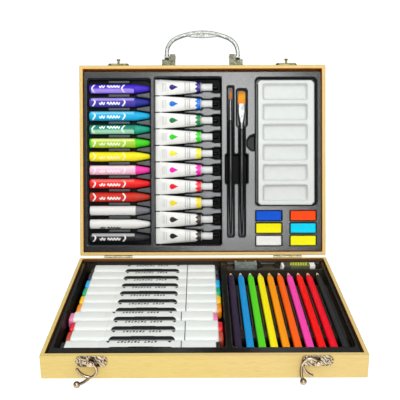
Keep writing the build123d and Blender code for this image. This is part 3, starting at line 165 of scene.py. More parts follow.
class Recipe:
    """A procedural material while it is being mixed."""

    def __init__(self, name: str, colour: str, roughness: float, **sockets: object) -> None:
        """Starts a material.

        Args:
            name: Name of the material.
            colour: Its base colour.
            roughness: Its roughness.
            **sockets: Further values of the shader, with underscores for spaces.
        """
        self.material = bpy.data.materials.new(name)
        self.material.use_nodes = True
        self.tree = self.material.node_tree
        self.shader = self.tree.nodes["Principled BSDF"]
        self.shader.inputs["Base Color"].default_value = srgb(colour)
        self.shader.inputs["Roughness"].default_value = roughness
        for key, value in sockets.items():
            self.shader.inputs[key.replace("_", " ").title().replace("Ior", "IOR")].default_value = value

    def node(self, kind: str, inputs: dict, **settings: object) -> Node:
        """Adds a node to the material."""
        return add_node(self.tree, kind, inputs, **settings)

    def coordinates(self, half: Half, stretch: Sequence[float] = (1, 1, 1)) -> Socket:
        """Gives places in millimetres in a half's frame.

        Args:
            half: The half.
            stretch: How much the places are stretched along its axes.

        Returns:
            The places.
        """
        where = self.node("ShaderNodeTexCoord", {}).outputs["Object"]
        inverse = half_frame(half).inverted()
        mapping = {
            "Vector": where,
            "Location": inverse.translation,
            "Rotation": inverse.to_3x3().normalized().to_euler(),
            "Scale": (1 / MM,) * 3,
        }
        inputs = {0: self.node("ShaderNodeMapping", mapping).outputs[0], 1: tuple(stretch)}
        return self.node("ShaderNodeVectorMath", inputs, operation="MULTIPLY").outputs[0]

    def parts(self, vector: Socket) -> Sequence[Socket]:
        """Gives the X, Y and Z of a vector."""
        return self.node("ShaderNodeSeparateXYZ", {0: vector}).outputs

    def noise(self, vector: Socket, noise: Noise) -> Socket:
        """Gives a noise between 0 and 1."""
        inputs = {"Vector": vector, "Scale": noise.scale, "Detail": noise.detail, "Roughness": noise.rough}
        return self.node("ShaderNodeTexNoise", inputs).outputs[0]

    def attribute(self, name: str) -> Socket:
        """Gives a number that the mesh carries."""
        return self.node("ShaderNodeAttribute", {}, attribute_name=name).outputs["Fac"]

    def math(self, operation: str, *values: object) -> Socket:
        """Gives the result of a sum on numbers or sockets."""
        return self.node("ShaderNodeMath", dict(enumerate(values)), operation=operation).outputs[0]

    def ramp(self, factor: Socket, stops: Sequence[tuple[float, str]], steps: bool = False) -> Socket:
        """Gives the colour at a factor.

        Args:
            factor: The factor.
            stops: Places between 0 and 1 and their colours, in order.
            steps: Whether each colour holds up to the next place.

        Returns:
            The colour.
        """
        node = self.node("ShaderNodeValToRGB", {0: factor})
        ramp = node.color_ramp
        ramp.interpolation = "CONSTANT" if steps else "LINEAR"
        for number, (place, colour) in enumerate(stops):
            stop = ramp.elements[number] if number < 2 else ramp.elements.new(place)
            stop.position = place
            stop.color = srgb(colour)
        return node.outputs[0]

    def by_row(self, colours: Colours) -> Tone:
        """Gives each copy in a row its own colour, or all of them the only one.

        Args:
            colours: The colours in order.

        Returns:
            A socket, or the code of the only colour.
        """
        if len(colours) == 1:
            return colours[0]
        stops = [(number / len(colours), colour) for number, colour in enumerate(colours)]
        return self.ramp(self.attribute("row"), stops, steps=True)

    def mix(self, factor: object, first: Tone, second: Tone) -> Socket:
        """Mixes two colours.

        Args:
            factor: Share of the second.
            first: A socket or a code.
            second: A socket or a code.

        Returns:
            The mixed colour.
        """
        node = self.node("ShaderNodeMix", {}, data_type="RGBA")
        chosen = [node.inputs[0], *(s for s in node.inputs if s.type == "RGBA")]
        for socket, value in zip(chosen, (factor, first, second)):
            if isinstance(value, Socket):
                self.tree.links.new(value, socket)
            else:
                socket.default_value = srgb(value) if isinstance(value, str) else value
        return next(s for s in node.outputs if s.type == "RGBA")

    def between(self, factor: Socket, low: float, high: float) -> Socket:
        """Spreads a factor between 0 and 1 over a range of values."""
        return self.node("ShaderNodeMapRange", {"Value": factor, "To Min": low, "To Max": high}).outputs[0]

    def share(self, value: Socket, low: float, high: float) -> Socket:
        """Gives how far a value lies along a range, from 0 to 1."""
        inputs = {"Value": value, "From Min": low, "From Max": high}
        return self.node("ShaderNodeMapRange", inputs).outputs[0]

    def link(self, socket: Socket, name: str) -> None:
        """Links a socket to an input of the shader."""
        self.tree.links.new(socket, self.shader.inputs[name])

    def bump(self, height: Socket, depth: float, strength: float) -> None:
        """Raises the surface by a height between 0 and 1, to a depth in millimetres."""
        inputs = {"Height": height, "Distance": depth * MM, "Strength": strength}
        self.link(self.node("ShaderNodeBump", inputs).outputs[0], "Normal")

    def finish(
        self, colour: Socket, rough: Socket, height: Socket, depth: float, strength: float = 0.5
    ) -> Material:
        """Ends the mixing.

        Args:
            colour: Base colour.
            rough: Roughness.
            height: Relief between 0 and 1.
            depth: Depth of the relief in millimetres.
            strength: Strength of the relief.

        Returns:
            The material.
        """
        self.link(colour, "Base Color")
        self.link(rough, "Roughness")
        self.bump(height, depth, strength)
        return self.material


@dataclass(frozen=True)
class WoodFinish:
    """Pale basswood under clear lacquer."""

    half: Half
    grain: Grain
    light: str = "#dac474"
    dark: str = "#d2b05c"
    warm: str = "#dcb886"
    fleck: str = "#a97b3c"
    # Inner wall faces: brighter orange here as painted light in the lid; the base passes a darker colour as
    # painted shade.
    inside: str = "#f08a28"
    # Outer top edge of the rim: darker as painted shade of its rounded edge.
    edge_shade: str = "#8f7440"
    # Width in millimetres of that painted edge shade.
    wear: float = 0.8
    stretch: float = 0.035
    bands: Noise = Noise(0.09, 3, 0.55)
    fibres: Noise = Noise(1.6, 4, 0.7)
    pores: Noise = Noise(3.4, 2, 0.6)
    clouds: Noise = Noise(0.011, 1)
    rings: float = 7.0
    contrast: float = 0.26
    fleck_share: float = 3.0
    rough: Pair = (0.34, 0.52)
    skin: Pair = (0.12, 0.05)

    def material(self) -> Material:
        """Mixes the material, with growth bands, fine fibres and short pores along the grain."""
        mix = Recipe(f"wood_{self.half.value}_{self.grain.name.lower()}", self.light, 0.42)
        along = [self.stretch if axis else 1.0 for axis in self.grain.value]
        place = mix.coordinates(self.half, along)
        bands, fibres, pores = (mix.noise(place, n) for n in (self.bands, self.fibres, self.pores))
        rings = mix.math("FRACT", mix.math("MULTIPLY", bands, self.rings))
        tone = mix.math("ADD", mix.math("POWER", rings, 3.0), fibres)
        board = mix.mix(mix.math("MULTIPLY", tone, self.contrast), self.light, self.dark)
        warmth = mix.noise(mix.coordinates(self.half), self.clouds)
        board = mix.mix(mix.ramp(warmth, [(0.42, "#000000"), (0.6, "#909090")]), board, self.warm)
        fleck = mix.between(mix.math("POWER", pores, 6.0), 0.0, self.fleck_share)
        board = mix.mix(fleck, board, self.fleck)
        # Painted light and shade: inner wall faces take the inner colour, and the outer rim edge darkens as
        # painted shade of its rounded edge.
        inner, edge = self.places(mix)
        colour = mix.mix(inner, mix.mix(edge, board, self.edge_shade), self.inside)
        return mix.finish(colour, mix.between(fibres, *self.rough), mix.math("ADD", fibres, pores), 0.05)

    def places(self, mix: Recipe) -> tuple[Socket, Socket]:
        """Finds the inner faces of the walls, tinted as painted light and shade, and the outer edge of the
        rim, darkened as painted shade.

        Args:
            mix: The material.

        Returns:
            How far a point belongs to each, from 0 to 1.
        """
        middle, rim = (0.0, HALF_HEIGHT) if self.half is Half.BASE else (CASE_DEPTH / 2, 0.0)
        x, y, z = mix.parts(mix.coordinates(self.half))
        side = mix.math("SUBTRACT", CASE_LENGTH / 2, mix.math("ABSOLUTE", x))
        end = mix.math("ABSOLUTE", mix.math("SUBTRACT", y, middle))
        outside = mix.math("MINIMUM", side, mix.math("SUBTRACT", CASE_DEPTH / 2, end))
        depth = mix.math("SUBTRACT", rim, z)
        within = mix.math("GREATER_THAN", outside, WALL - self.skin[0])
        above = mix.math("LESS_THAN", depth, HALF_HEIGHT - PANEL - self.skin[1])
        inner = mix.math("MULTIPLY", within, above)
        near = [mix.math("SUBTRACT", 1.0, mix.math("DIVIDE", way, self.wear)) for way in (outside, depth)]
        return inner, mix.math("MULTIPLY", *[mix.math("MAXIMUM", share, 0.0) for share in near])


@dataclass(frozen=True)
class SheetFinish:
    """Black glossy sheet, a little uneven from the forming."""

    half: Half
    flange: float
    floor: float
    depth_shade_tones: tuple[str, str, str]
    shine: float
    deep_shine: float = 0.03
    waves: Noise = Noise(0.045, 2)
    peel: Noise = Noise(1.1, 3)
    scuffs: Noise = Noise(0.9, 5, 0.7)

    def material(self) -> Material:
        """Mixes the material, which is duller deep in a bay, blacker there as painted shade, and lighter at
        mid height on saddles and ribs as painted sheen.
        """
        mix = Recipe(f"black_sheet_{self.half.value}", self.depth_shade_tones[-1], 0.2)
        place = mix.coordinates(self.half)
        waves, peel = mix.noise(place, self.waves), mix.noise(place, self.peel)
        scuffs = mix.noise(mix.coordinates(self.half, (0.25, 1, 1)), self.scuffs)
        height = mix.math("SUBTRACT", mix.parts(place)[2], self.floor)
        share = mix.math("DIVIDE", height, self.flange - self.floor)
        # Painted shade and sheen: black on the floor deep in a bay, lighter at mid height on saddles and
        # ribs, and the flange's own dark colour at the top.
        floor, pad_sheen, flange = self.depth_shade_tones
        tone = mix.ramp(share, [(0.05, floor), (0.45, pad_sheen), (0.8, pad_sheen), (0.97, flange)])
        colour = mix.mix(mix.between(scuffs, 0.0, 0.5), tone, "#000000")
        mix.link(mix.between(share, self.deep_shine, self.shine), "Specular IOR Level")
        height = mix.math("ADD", mix.math("MULTIPLY", waves, 4.0), peel)
        return mix.finish(colour, mix.between(scuffs, 0.14, 0.3), height, 0.05)


@dataclass(frozen=True)
class MetalFinish:
    """Plated or bare metal with fine scratches, darker worn places, and painted shade on faces turned away
    from a given direction.
    """

    name: str
    light: str
    dark: str
    low: float = 0.18
    high: float = 0.42
    scratch: Triple = (0.15, 1.0, 1.0)
    engraving: float = 0.0
    # Dark colour of the engraving, and of the painted shade on faces turned away from the flat direction.
    tarnish_and_shade: str = "#2a2018"
    # Direction whose faces stay bright; faces turned away from it darken as painted shade.
    flat: Optional[Vector] = None
    half: Half = Half.BASE
    clouds: Noise = Noise(0.35, 4, 0.65)
    scratches: Noise = Noise(4.0, 4, 0.75)

    def material(self) -> Material:
        """Mixes the material, with dark patina in the engraving and painted shade on faces turned off the
        flat direction.
        """
        mix = Recipe(self.name, self.light, self.low, metallic=1.0)
        place = mix.coordinates(self.half)
        cloud = mix.noise(place, self.clouds)
        lines = mix.noise(mix.coordinates(self.half, self.scratch), self.scratches)
        colour = mix.ramp(cloud, [(0.36, self.dark), (0.62, self.light)])
        height = lines
        if self.engraving:
            wave = {"Vector": place, "Scale": self.engraving, "Distortion": 7.0, "Detail": 1.0,
                    "Detail Scale": 2.0}
            scrolls = mix.node("ShaderNodeTexWave", wave, bands_direction="DIAGONAL").outputs["Fac"]
            colour = mix.mix(mix.math("POWER", scrolls, 0.7), self.tarnish_and_shade, colour)
            height = mix.math("ADD", scrolls, mix.math("MULTIPLY", lines, 0.2))
        # Painted shade: faces turned away from the flat direction darken towards the dark colour.
        if self.flat is not None:
            normal = mix.node("ShaderNodeTexCoord", {}).outputs["Normal"]
            faces = {0: normal, 1: tuple(self.flat)}
            turn = mix.node("ShaderNodeVectorMath", faces, operation="DOT_PRODUCT").outputs["Value"]
            side = mix.math("POWER", mix.math("SUBTRACT", 1.0, mix.math("ABSOLUTE", turn)), 0.5)
            colour = mix.mix(side, colour, self.tarnish_and_shade)
        wear = mix.math("MULTIPLY", mix.math("ADD", cloud, lines), 0.5)
        depth = 0.12 if self.engraving else 0.05
        return mix.finish(colour, mix.between(wear, self.low, self.high), height, depth, 0.6)


@dataclass(frozen=True)
class PlasticFinish:
    """Moulded plastic or lacquer in one colour, or in one colour for each copy in a row."""

    name: str
    colours: Colours
    rough: float = 0.28
    half: Half = Half.BASE
    coat: float = 0.0
    mottle: float = 0.06
    texture: float = 0.03
    gloss: float = 0.4
    fine: Noise = Noise(1.4, 4, 0.6)
    clouds: Noise = Noise(0.12, 3)

    def material(self) -> Material:
        """Mixes the material, with faint mottling and a fine moulded texture."""
        mix = Recipe(
            self.name, self.colours[0], self.rough, coat_weight=self.coat, specular_ior_level=self.gloss
        )
        place = mix.coordinates(self.half)
        fine, cloud = mix.noise(place, self.fine), mix.noise(place, self.clouds)
        shade = mix.between(cloud, 0.0, 2 * self.mottle)
        colour = mix.mix(shade, mix.by_row(self.colours), "#1c1c22")
        rough = mix.between(fine, self.rough * 0.75, min(1.0, self.rough * 1.35))
        return mix.finish(colour, rough, fine, self.texture, 0.4)


@dataclass(frozen=True)
class StreakFinish:
    """Wax, or paper printed in each stick's colour, with fine streaks along X and small dents."""

    name: str
    colours: Colours
    base: str
    rough: float
    gloss: float
    streaks: Noise
    run: float
    dents: Noise
    shade: tuple[float, str]
    sheen: Pair
    depth: float

    def material(self) -> Material:
        """Mixes the material."""
        mix = Recipe(self.name, self.base, self.rough, specular_ior_level=self.gloss)
        streak = mix.noise(mix.coordinates(Half.LID, (self.run, 1, 1)), self.streaks)
        dents = mix.noise(mix.coordinates(Half.LID), self.dents)
        share, dark = self.shade
        colour = mix.mix(mix.between(streak, 0.0, share), mix.by_row(self.colours), dark)
        rough = mix.between(streak, *self.sheen)
        return mix.finish(colour, rough, mix.math("ADD", streak, dents), self.depth)


@dataclass(frozen=True)
class PigmentFinish:
    """Pressed pigment: matte, faintly grained, with small pits."""

    colours: Colours
    grain: Noise = Noise(1.8, 5, 0.7)
    patches: Noise = Noise(0.15, 3)

    def material(self) -> Material:
        """Mixes the material."""
        mix = Recipe("paint_cake", "#ffffff", 0.6, specular_ior_level=0.15)
        place = mix.coordinates(Half.LID)
        grain, patch = mix.noise(place, self.grain), mix.noise(place, self.patches)
        colour = mix.mix(mix.between(patch, 0.0, 0.08), mix.by_row(self.colours), "#30303a")
        return mix.finish(colour, mix.between(grain, 0.45, 0.75), grain, 0.1, 0.6)


@dataclass(frozen=True)
class PencilFinish:
    """Lacquer in the pencil's colour, and bare wood where the point is cut."""

    colours: Colours
    wood: tuple[str, str] = ("#e9c9a0", "#f7e3c6")
    bare_from: float = 0.97
    grain: Noise = Noise(1.5, 3, 0.6)
    fine: Noise = Noise(0.5, 3)

    def material(self) -> Material:
        """Mixes the material."""
        mix = Recipe("pencil_paint", "#ffffff", 0.4, specular_ior_level=0.14)
        grain = mix.noise(mix.coordinates(Half.BASE, (1.0, 0.08, 1.0)), self.grain)
        fine = mix.noise(mix.coordinates(Half.BASE), self.fine)
        cut = mix.math("GREATER_THAN", mix.attribute("bare"), self.bare_from)
        wood = mix.ramp(grain, [(0.3, self.wood[0]), (0.7, self.wood[1])])
        paint = mix.mix(mix.between(fine, 0.0, 0.1), mix.by_row(self.colours), "#1a1a1a")
        return mix.finish(mix.mix(cut, paint, wood), mix.between(fine, 0.32, 0.5), grain, 0.03, 0.4)


@dataclass(frozen=True)
class CardFinish:
    """Printed card, black at its left and olive at its right."""

    left: str = "#1b1d1a"
    right: str = "#4d5426"
    edge: Pair = (104.6, 105.0)
    fibres: Noise = Noise(2.0, 4, 0.7)

    def material(self) -> Material:
        """Mixes the material."""
        mix = Recipe("sleeve_card", "#5c6230", 0.45)
        place = mix.coordinates(Half.BASE)
        fibre = mix.noise(place, self.fibres)
        tone = mix.mix(mix.share(mix.parts(place)[0], *self.edge), self.left, self.right)
        colour = mix.mix(mix.between(fibre, 0.0, 0.22), tone, "#8a8a70")
        return mix.finish(colour, mix.between(fibre, 0.38, 0.6), fibre, 0.03, 0.4)


@dataclass(frozen=True)
class HairFinish:
    """Dyed hair, darker towards the root and varied from strand to strand."""

    name: str
    light: str
    dark: str
    run: Pair
    strands: Noise = Noise(3.0, 3, 0.7)

    def material(self) -> Material:
        """Mixes the material."""
        mix = Recipe(self.name, self.light, 0.42, sheen_weight=0.2)
        along = mix.share(mix.parts(mix.coordinates(Half.LID))[1], *self.run)
        varied = mix.noise(mix.coordinates(Half.LID, (1, 0.06, 1)), self.strands)
        blend = mix.math("ADD", mix.math("MULTIPLY", along, 0.6), mix.math("MULTIPLY", varied, 0.5))
        mix.link(mix.ramp(blend, [(0.15, self.dark), (0.6, self.light), (1.0, self.dark)]), "Base Color")
        mix.link(mix.between(varied, 0.3, 0.5), "Roughness")
        return mix.material


Surface = Callable[[float, float], Vector]


class Form:
    """Vertices and faces of one piece, in millimetres."""

    def __init__(self) -> None:
        """Starts an empty form."""
        self.points: list[Vector] = []
        self.faces: list[tuple[int, ...]] = []

    def quads(self, start: int, count: int, rows: int, closed: bool) -> None:
        """Joins rows of equally many points.

        Args:
            start: Number of the first point.
            count: Points in a row.
            rows: Number of rows.
            closed: Whether each row is a ring.
        """
        for low in range(start, start + (rows - 1) * count, count):
            for i in range(count if closed else count - 1):
                j = (i + 1) % count
                self.faces.append((low + i, low + j, low + count + j, low + count + i))

    def disc(self, ring: Sequence[Vector], back: bool = False) -> None:
        """Closes a ring with a face that has its own points.

        Args:
            ring: The ring.
            back: Whether the face is turned over.
        """
        start = len(self.points)
        self.points.extend(Vector(point) for point in ring)
        numbers = range(start, start + len(ring))
        self.faces.append(tuple(reversed(numbers) if back else numbers))

    def loft(self, rings: Sequence[Sequence[Vector]], caps: bool = True) -> "Form":
        """Joins closed rings of equally many points.

        Args:
            rings: The rings in order.
            caps: Whether each end gets a cap.

        Returns:
            This form.
        """
        start, count = len(self.points), len(rings[0])
        for ring in rings:
            self.points.extend(Vector(point) for point in ring)
        self.quads(start, count, len(rings), closed=True)
        if caps:
            last = start + (len(rings) - 1) * count
            self.faces.append(tuple(reversed(range(start, start + count))))
            self.faces.append(tuple(range(last, last + count)))
        return self

    def patch(self, surface: Surface, rows: Sequence[Sequence[Pair]], turned: bool = False) -> "Form":
        """Lays rows of equally many places on a surface and joins them.

        Args:
            surface: Gives the point at a place.
            rows: The places.
            turned: Whether each row is taken from its end, which turns the faces over.

        Returns:
            This form.
        """
        start, count = len(self.points), len(rows[0])
        for row in rows:
            self.points.extend(surface(*place) for place in (row[::-1] if turned else row))
        self.quads(start, count, len(rows), closed=False)
        return self

    def stroke(self, surface: Surface, path: Sequence[Pair], width: float) -> "Form":
        """Draws a line of even width on a surface.

        Args:
            surface: Gives the point at a place.
            path: The places that the line passes.
            width: Its width.

        Returns:
            This form.
        """
        sides = []
        for number, (u, v) in enumerate(path):
            before = path[max(number - 1, 0)]
            after = path[min(number + 1, len(path) - 1)]
            run = Vector((after[0] - before[0], after[1] - before[1])).normalized()
            du, dv = -run.y * width / 2, run.x * width / 2
            sides.append([(u - du, v - dv), (u + du, v + dv)])
        return self.patch(surface, sides)

    def mesh(self, name: str, smooth: float = 0.6, outward: bool = True) -> Mesh:
        """Makes the mesh.

        Args:
            name: Its name.
            smooth: Angle in radians past which an edge stays sharp.
            outward: Whether the faces are turned outwards again.

        Returns:
            The mesh, in millimetres.
        """
        mesh = bpy.data.meshes.new(name)
        mesh.from_pydata([tuple(point) for point in self.points], [], self.faces)
        shape = bmesh.new()
        shape.from_mesh(mesh)
        bmesh.ops.remove_doubles(shape, verts=shape.verts, dist=0.002)
        if outward:
            bmesh.ops.recalc_face_normals(shape, faces=shape.faces)
        for edge in shape.edges:
            edge.smooth = len(edge.link_faces) == 2 and edge.calc_face_angle(0.0) < smooth
        for face in shape.faces:
            face.smooth = True
        shape.to_mesh(mesh)
        shape.free()
        return mesh

    def marks(self, name: str) -> Mesh:
        """Makes the mesh of marks that lie on a surface, facing as they were laid."""
        return self.mesh(name, outward=False)


def ring(x: float, reaches: Sequence[float]) -> list[Vector]:
    """Gives a ring across the X axis."""
    angles = [2 * math.pi * number / len(reaches) for number in range(len(reaches))]
    return [Vector((x, r * math.cos(a), r * math.sin(a))) for a, r in zip(angles, reaches)]


def rounded(width: float, depth: float, radius: float, steps: int) -> list[Pair]:
    """Gives the outline of a rounded rectangle round the origin.

    Args:
        width: Its width.
        depth: Its depth.
        radius: Radius of its corners.
        steps: Steps in a corner.

    Returns:
        Its points.
    """
    radius = min(radius, width / 2, depth / 2)
    outline = []
    for quarter, (sx, sy) in enumerate(((1, 1), (-1, 1), (-1, -1), (1, -1))):
        for step in range(steps + 1):
            angle = math.pi / 2 * (quarter + step / steps)
            x = sx * (width / 2 - radius) + radius * math.cos(angle)
            outline.append((x, sy * (depth / 2 - radius) + radius * math.sin(angle)))
    return outline


def bar_ring(x: float, width: float, thickness: float, radius: float, steps: int = 5) -> list[Vector]:
    """Ring of a rounded bar across the X axis."""
    return [Vector((x, y, z)) for y, z in rounded(width, thickness, radius, steps)]


def oval(wide: float, thick: float, steps: int) -> list[Pair]:
    """Outline of an oval from its half sizes, with its points where a round bar has them."""
    return [(wide * y, thick * z) for y, z in rounded(2, 2, 1, steps)]


def coat(node: str, material: Material) -> None:
    """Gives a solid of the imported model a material.

    Args:
        node: Name of the solid.
        material: The material.
    """
    data = frame["nodes"][node].data
    data.materials.clear()
    data.materials.append(material)
    log.info("%s: coated with %s", node, material.name)


class RowTree:
    """Node tree that sets copies of a piece at points, each numbered for its colour."""

    INPUTS = (
        ("Piece", "NodeSocketObject"),
        ("Finish", "NodeSocketMaterial"),
        ("Sway", "NodeSocketFloat"),
        ("Roll", "NodeSocketFloat"),
        ("Seed", "NodeSocketInt"),
    )

    def __init__(self) -> None:
        """Builds the tree."""
        self.tree = bpy.data.node_groups.new("row_of_pieces", "GeometryNodeTree")
        face = self.tree.interface
        face.new_socket("Geometry", in_out="INPUT", socket_type="NodeSocketGeometry")
        self.sockets = {
            name: face.new_socket(name, in_out="INPUT", socket_type=kind).identifier
            for name, kind in self.INPUTS
        }
        face.new_socket("Geometry", in_out="OUTPUT", socket_type="NodeSocketGeometry")
        ends = add_node(self.tree, "NodeGroupInput", {})
        piece = add_node(self.tree, "GeometryNodeObjectInfo", {"Object": ends.outputs["Piece"]})
        sway, roll = (self.along_x(self.shake(ends, name, n)) for n, name in enumerate(("Sway", "Roll")))
        spots = {"Geometry": ends.outputs["Geometry"], "Offset": sway}
        turn = self.add("ShaderNodeVectorMath", {0: self.stored("turn"), 1: roll}, operation="ADD")
        copies = {
            "Points": self.add("GeometryNodeSetPosition", spots),
            "Instance": piece.outputs["Geometry"],
            "Rotation": self.add("FunctionNodeEulerToRotation", {0: turn}),
            "Scale": self.stored("size"),
        }
        placed = self.add("GeometryNodeInstanceOnPoints", copies)
        size = add_node(
            self.tree, "GeometryNodeAttributeDomainSize", {"Geometry": placed}, component="INSTANCES"
        )
        middle = self.math("ADD", self.add("GeometryNodeInputIndex", {}), 0.5)
        share = self.math("DIVIDE", middle, size.outputs["Instance Count"])
        row = {"Geometry": placed, "Name": "row", "Value": share}
        numbered = self.add("GeometryNodeStoreNamedAttribute", row, domain="INSTANCE")
        whole = self.add("GeometryNodeRealizeInstances", {"Geometry": numbered})
        dressed = {"Geometry": whole, "Material": ends.outputs["Finish"]}
        add_node(self.tree, "NodeGroupOutput", {"Geometry": self.add("GeometryNodeSetMaterial", dressed)})

    def add(self, kind: str, inputs: dict, **settings: object) -> Socket:
        """Adds a node and gives its first output."""
        return add_node(self.tree, kind, inputs, **settings).outputs[0]

    def math(self, operation: str, first: Socket, second: object) -> Socket:
        """Gives the result of a sum."""
        return self.add("ShaderNodeMath", {0: first, 1: second}, operation=operation)

    def stored(self, name: str) -> Socket:
        """Reads a vector that the points carry."""
        return self.add("GeometryNodeInputNamedAttribute", {"Name": name}, data_type="FLOAT_VECTOR")

    def along_x(self, value: Socket) -> Socket:
        """Makes a vector along X from a number."""
        return self.add("ShaderNodeCombineXYZ", {"X": value})

    def shake(self, ends: Node, name: str, salt: int) -> Socket:
        """Gives each copy a random number.

        Args:
            ends: The group's inputs.
            name: The input that holds the largest size of the number.
            salt: What is added to the seed.

        Returns:
            The number, between minus and plus that size.
        """
        most = ends.outputs[name]
        least = self.math("MULTIPLY", most, -1.0)
        seed = self.math("ADD", ends.outputs["Seed"], float(salt))
        node = add_node(self.tree, "FunctionNodeRandomValue", {}, data_type="FLOAT")
        chosen = {socket.name: socket for socket in node.inputs if socket.enabled}
        for key, value in (("Min", least), ("Max", most), ("Seed", seed)):
            self.tree.links.new(value, chosen[key])
        return next(socket for socket in node.outputs if socket.enabled)

    def lay(
        self,
        name: str,
        piece: Mesh,
        places: Sequence[Sequence[float]],
        finish: Material,
        turns: Optional[Sequence[Sequence[float]]] = None,
        sizes: Optional[Sequence[Sequence[float]]] = None,
        sway: float = 0.0,
        roll: float = 0.0,
        seed: int = 7,
    ) -> Mesh:
        """Lays copies of a piece.

        Args:
            name: Name of the mesh.
            piece: The mesh of one copy.
            places: Where the copies go.
            finish: Their material.
            turns: How each is turned, as Euler angles.
            sizes: How each is scaled.
            sway: Most that a copy may lie off its place along X.
            roll: Most that a copy may be rolled about X.
            seed: Seed of the random numbers.

        Returns:
            One plain mesh of all the copies.
        """
        points = bpy.data.meshes.new(name + "_places")
        points.from_pydata([tuple(place) for place in places], [], [])
        for key, values, usual in (("turn", turns, (0, 0, 0)), ("size", sizes, (1, 1, 1))):
            flat = [number for value in (values or [usual] * len(places)) for number in value]
            points.attributes.new(key, "FLOAT_VECTOR", "POINT").data.foreach_set("vector", flat)
        copy = bpy.data.objects.new(name + "_copy", piece)
        carrier = bpy.data.objects.new(name + "_row", points)
        for thing in (copy, carrier):
            bpy.context.scene.collection.objects.link(thing)
        modifier = carrier.modifiers.new("row", "NODES")
        modifier.node_group = self.tree
        values = {"Piece": copy, "Finish": finish, "Sway": sway, "Roll": roll, "Seed": seed}
        for key, value in values.items():
            modifier[self.sockets[key]] = value
        bpy.context.view_layer.update()
        graph = bpy.context.evaluated_depsgraph_get()
        mesh = bpy.data.meshes.new_from_object(carrier.evaluated_get(graph), depsgraph=graph)
        mesh.name = name
        carrier.modifiers.remove(modifier)
        for thing in (carrier, copy):
            bpy.data.objects.remove(thing)
        return mesh


rows = RowTree()


@dataclass(frozen=True)
class Seat:
    """A half of the case and a body in it, on which pieces are settled."""

    half: Half
    body: str

    def settle(
        self,
        name: str,
        mesh: Mesh,
        slot: str,
        material: Optional[Material] = None,
        stands_for: Optional[str] = None,
    ) -> None:
        """Puts a finished mesh in its half of the case.

        Args:
            name: Name of the piece.
            mesh: Its mesh, in the half's millimetres.
            slot: The material slot of the record; not used.
            material: Its material, or None to keep the mesh's own.
            stands_for: The solid that it is shown in place of.
        """
        mesh.transform(half_frame(self.half))
        if material is not None:
            mesh.materials.clear()
            mesh.materials.append(material)
        piece = bpy.data.objects.new(name, mesh)
        bpy.context.scene.collection.objects.link(piece)
        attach(piece, self.body)
        if stands_for:
            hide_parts(stands_for)
        log.info("%s: %d faces on %s", name, len(mesh.polygons), self.body)

    def lay(
        self,
        name: str,
        piece: Mesh,
        slot: str,
        finish: Material,
        places: Sequence[Sequence[float]],
        stands_for: Optional[str] = None,
        **options: object,
    ) -> None:
        """Lays copies of a piece and settles them as one."""
        self.settle(name, rows.lay(name, piece, places, finish, **options), slot, None, stands_for)


Distance = Callable[[np.ndarray, np.ndarray], np.ndarray]


def box_distance(box: Box, corner: float) -> Distance:
    """Gives the distance outside a rounded rectangle, negative inside.

    Args:
        box: Its least and greatest X and Y.
        corner: Radius of its corners.

    Returns:
        The distance, as a function of X and Y.
    """
    x_low, x_high, y_low, y_high = box
    middle = ((x_low + x_high) / 2, (y_low + y_high) / 2)
    half = ((x_high - x_low) / 2 - corner, (y_high - y_low) / 2 - corner)

    def distance(x: np.ndarray, y: np.ndarray) -> np.ndarray:
        """Distance at X and Y."""
        dx, dy = np.abs(x - middle[0]) - half[0], np.abs(y - middle[1]) - half[1]
        outside = np.hypot(np.maximum(dx, 0), np.maximum(dy, 0))
        return outside + np.minimum(np.maximum(dx, dy), 0) - corner

    return distance


def around(x: float, y: float, half_x: float, half_y: float) -> Box:
    """Gives the box about a middle, from its half sizes."""
    return x - half_x, x + half_x, y - half_y, y + half_y


def disc_distance(x: float, y: float, radius: float) -> Distance:
    """Gives the distance outside a disc, negative inside."""
    return lambda px, py: np.hypot(px - x, py - y) - radius


def spine_distance(middle: float, places: Sequence[float], widths: Sequence[float]) -> Distance:
    """Gives the distance outside a rib along X whose width changes, negative inside.

    Args:
        middle: Y of its middle line.
        places: X of the places where its width is given.
        widths: Its half widths there.

    Returns:
        The distance, as a function of X and Y.
    """

    def distance(x: np.ndarray, y: np.ndarray) -> np.ndarray:
        """Distance at X and Y."""
        side = np.abs(y - middle) - np.interp(x, places, widths)
        return np.maximum(side, np.maximum(places[0] - x, x - places[-1]))

    return distance


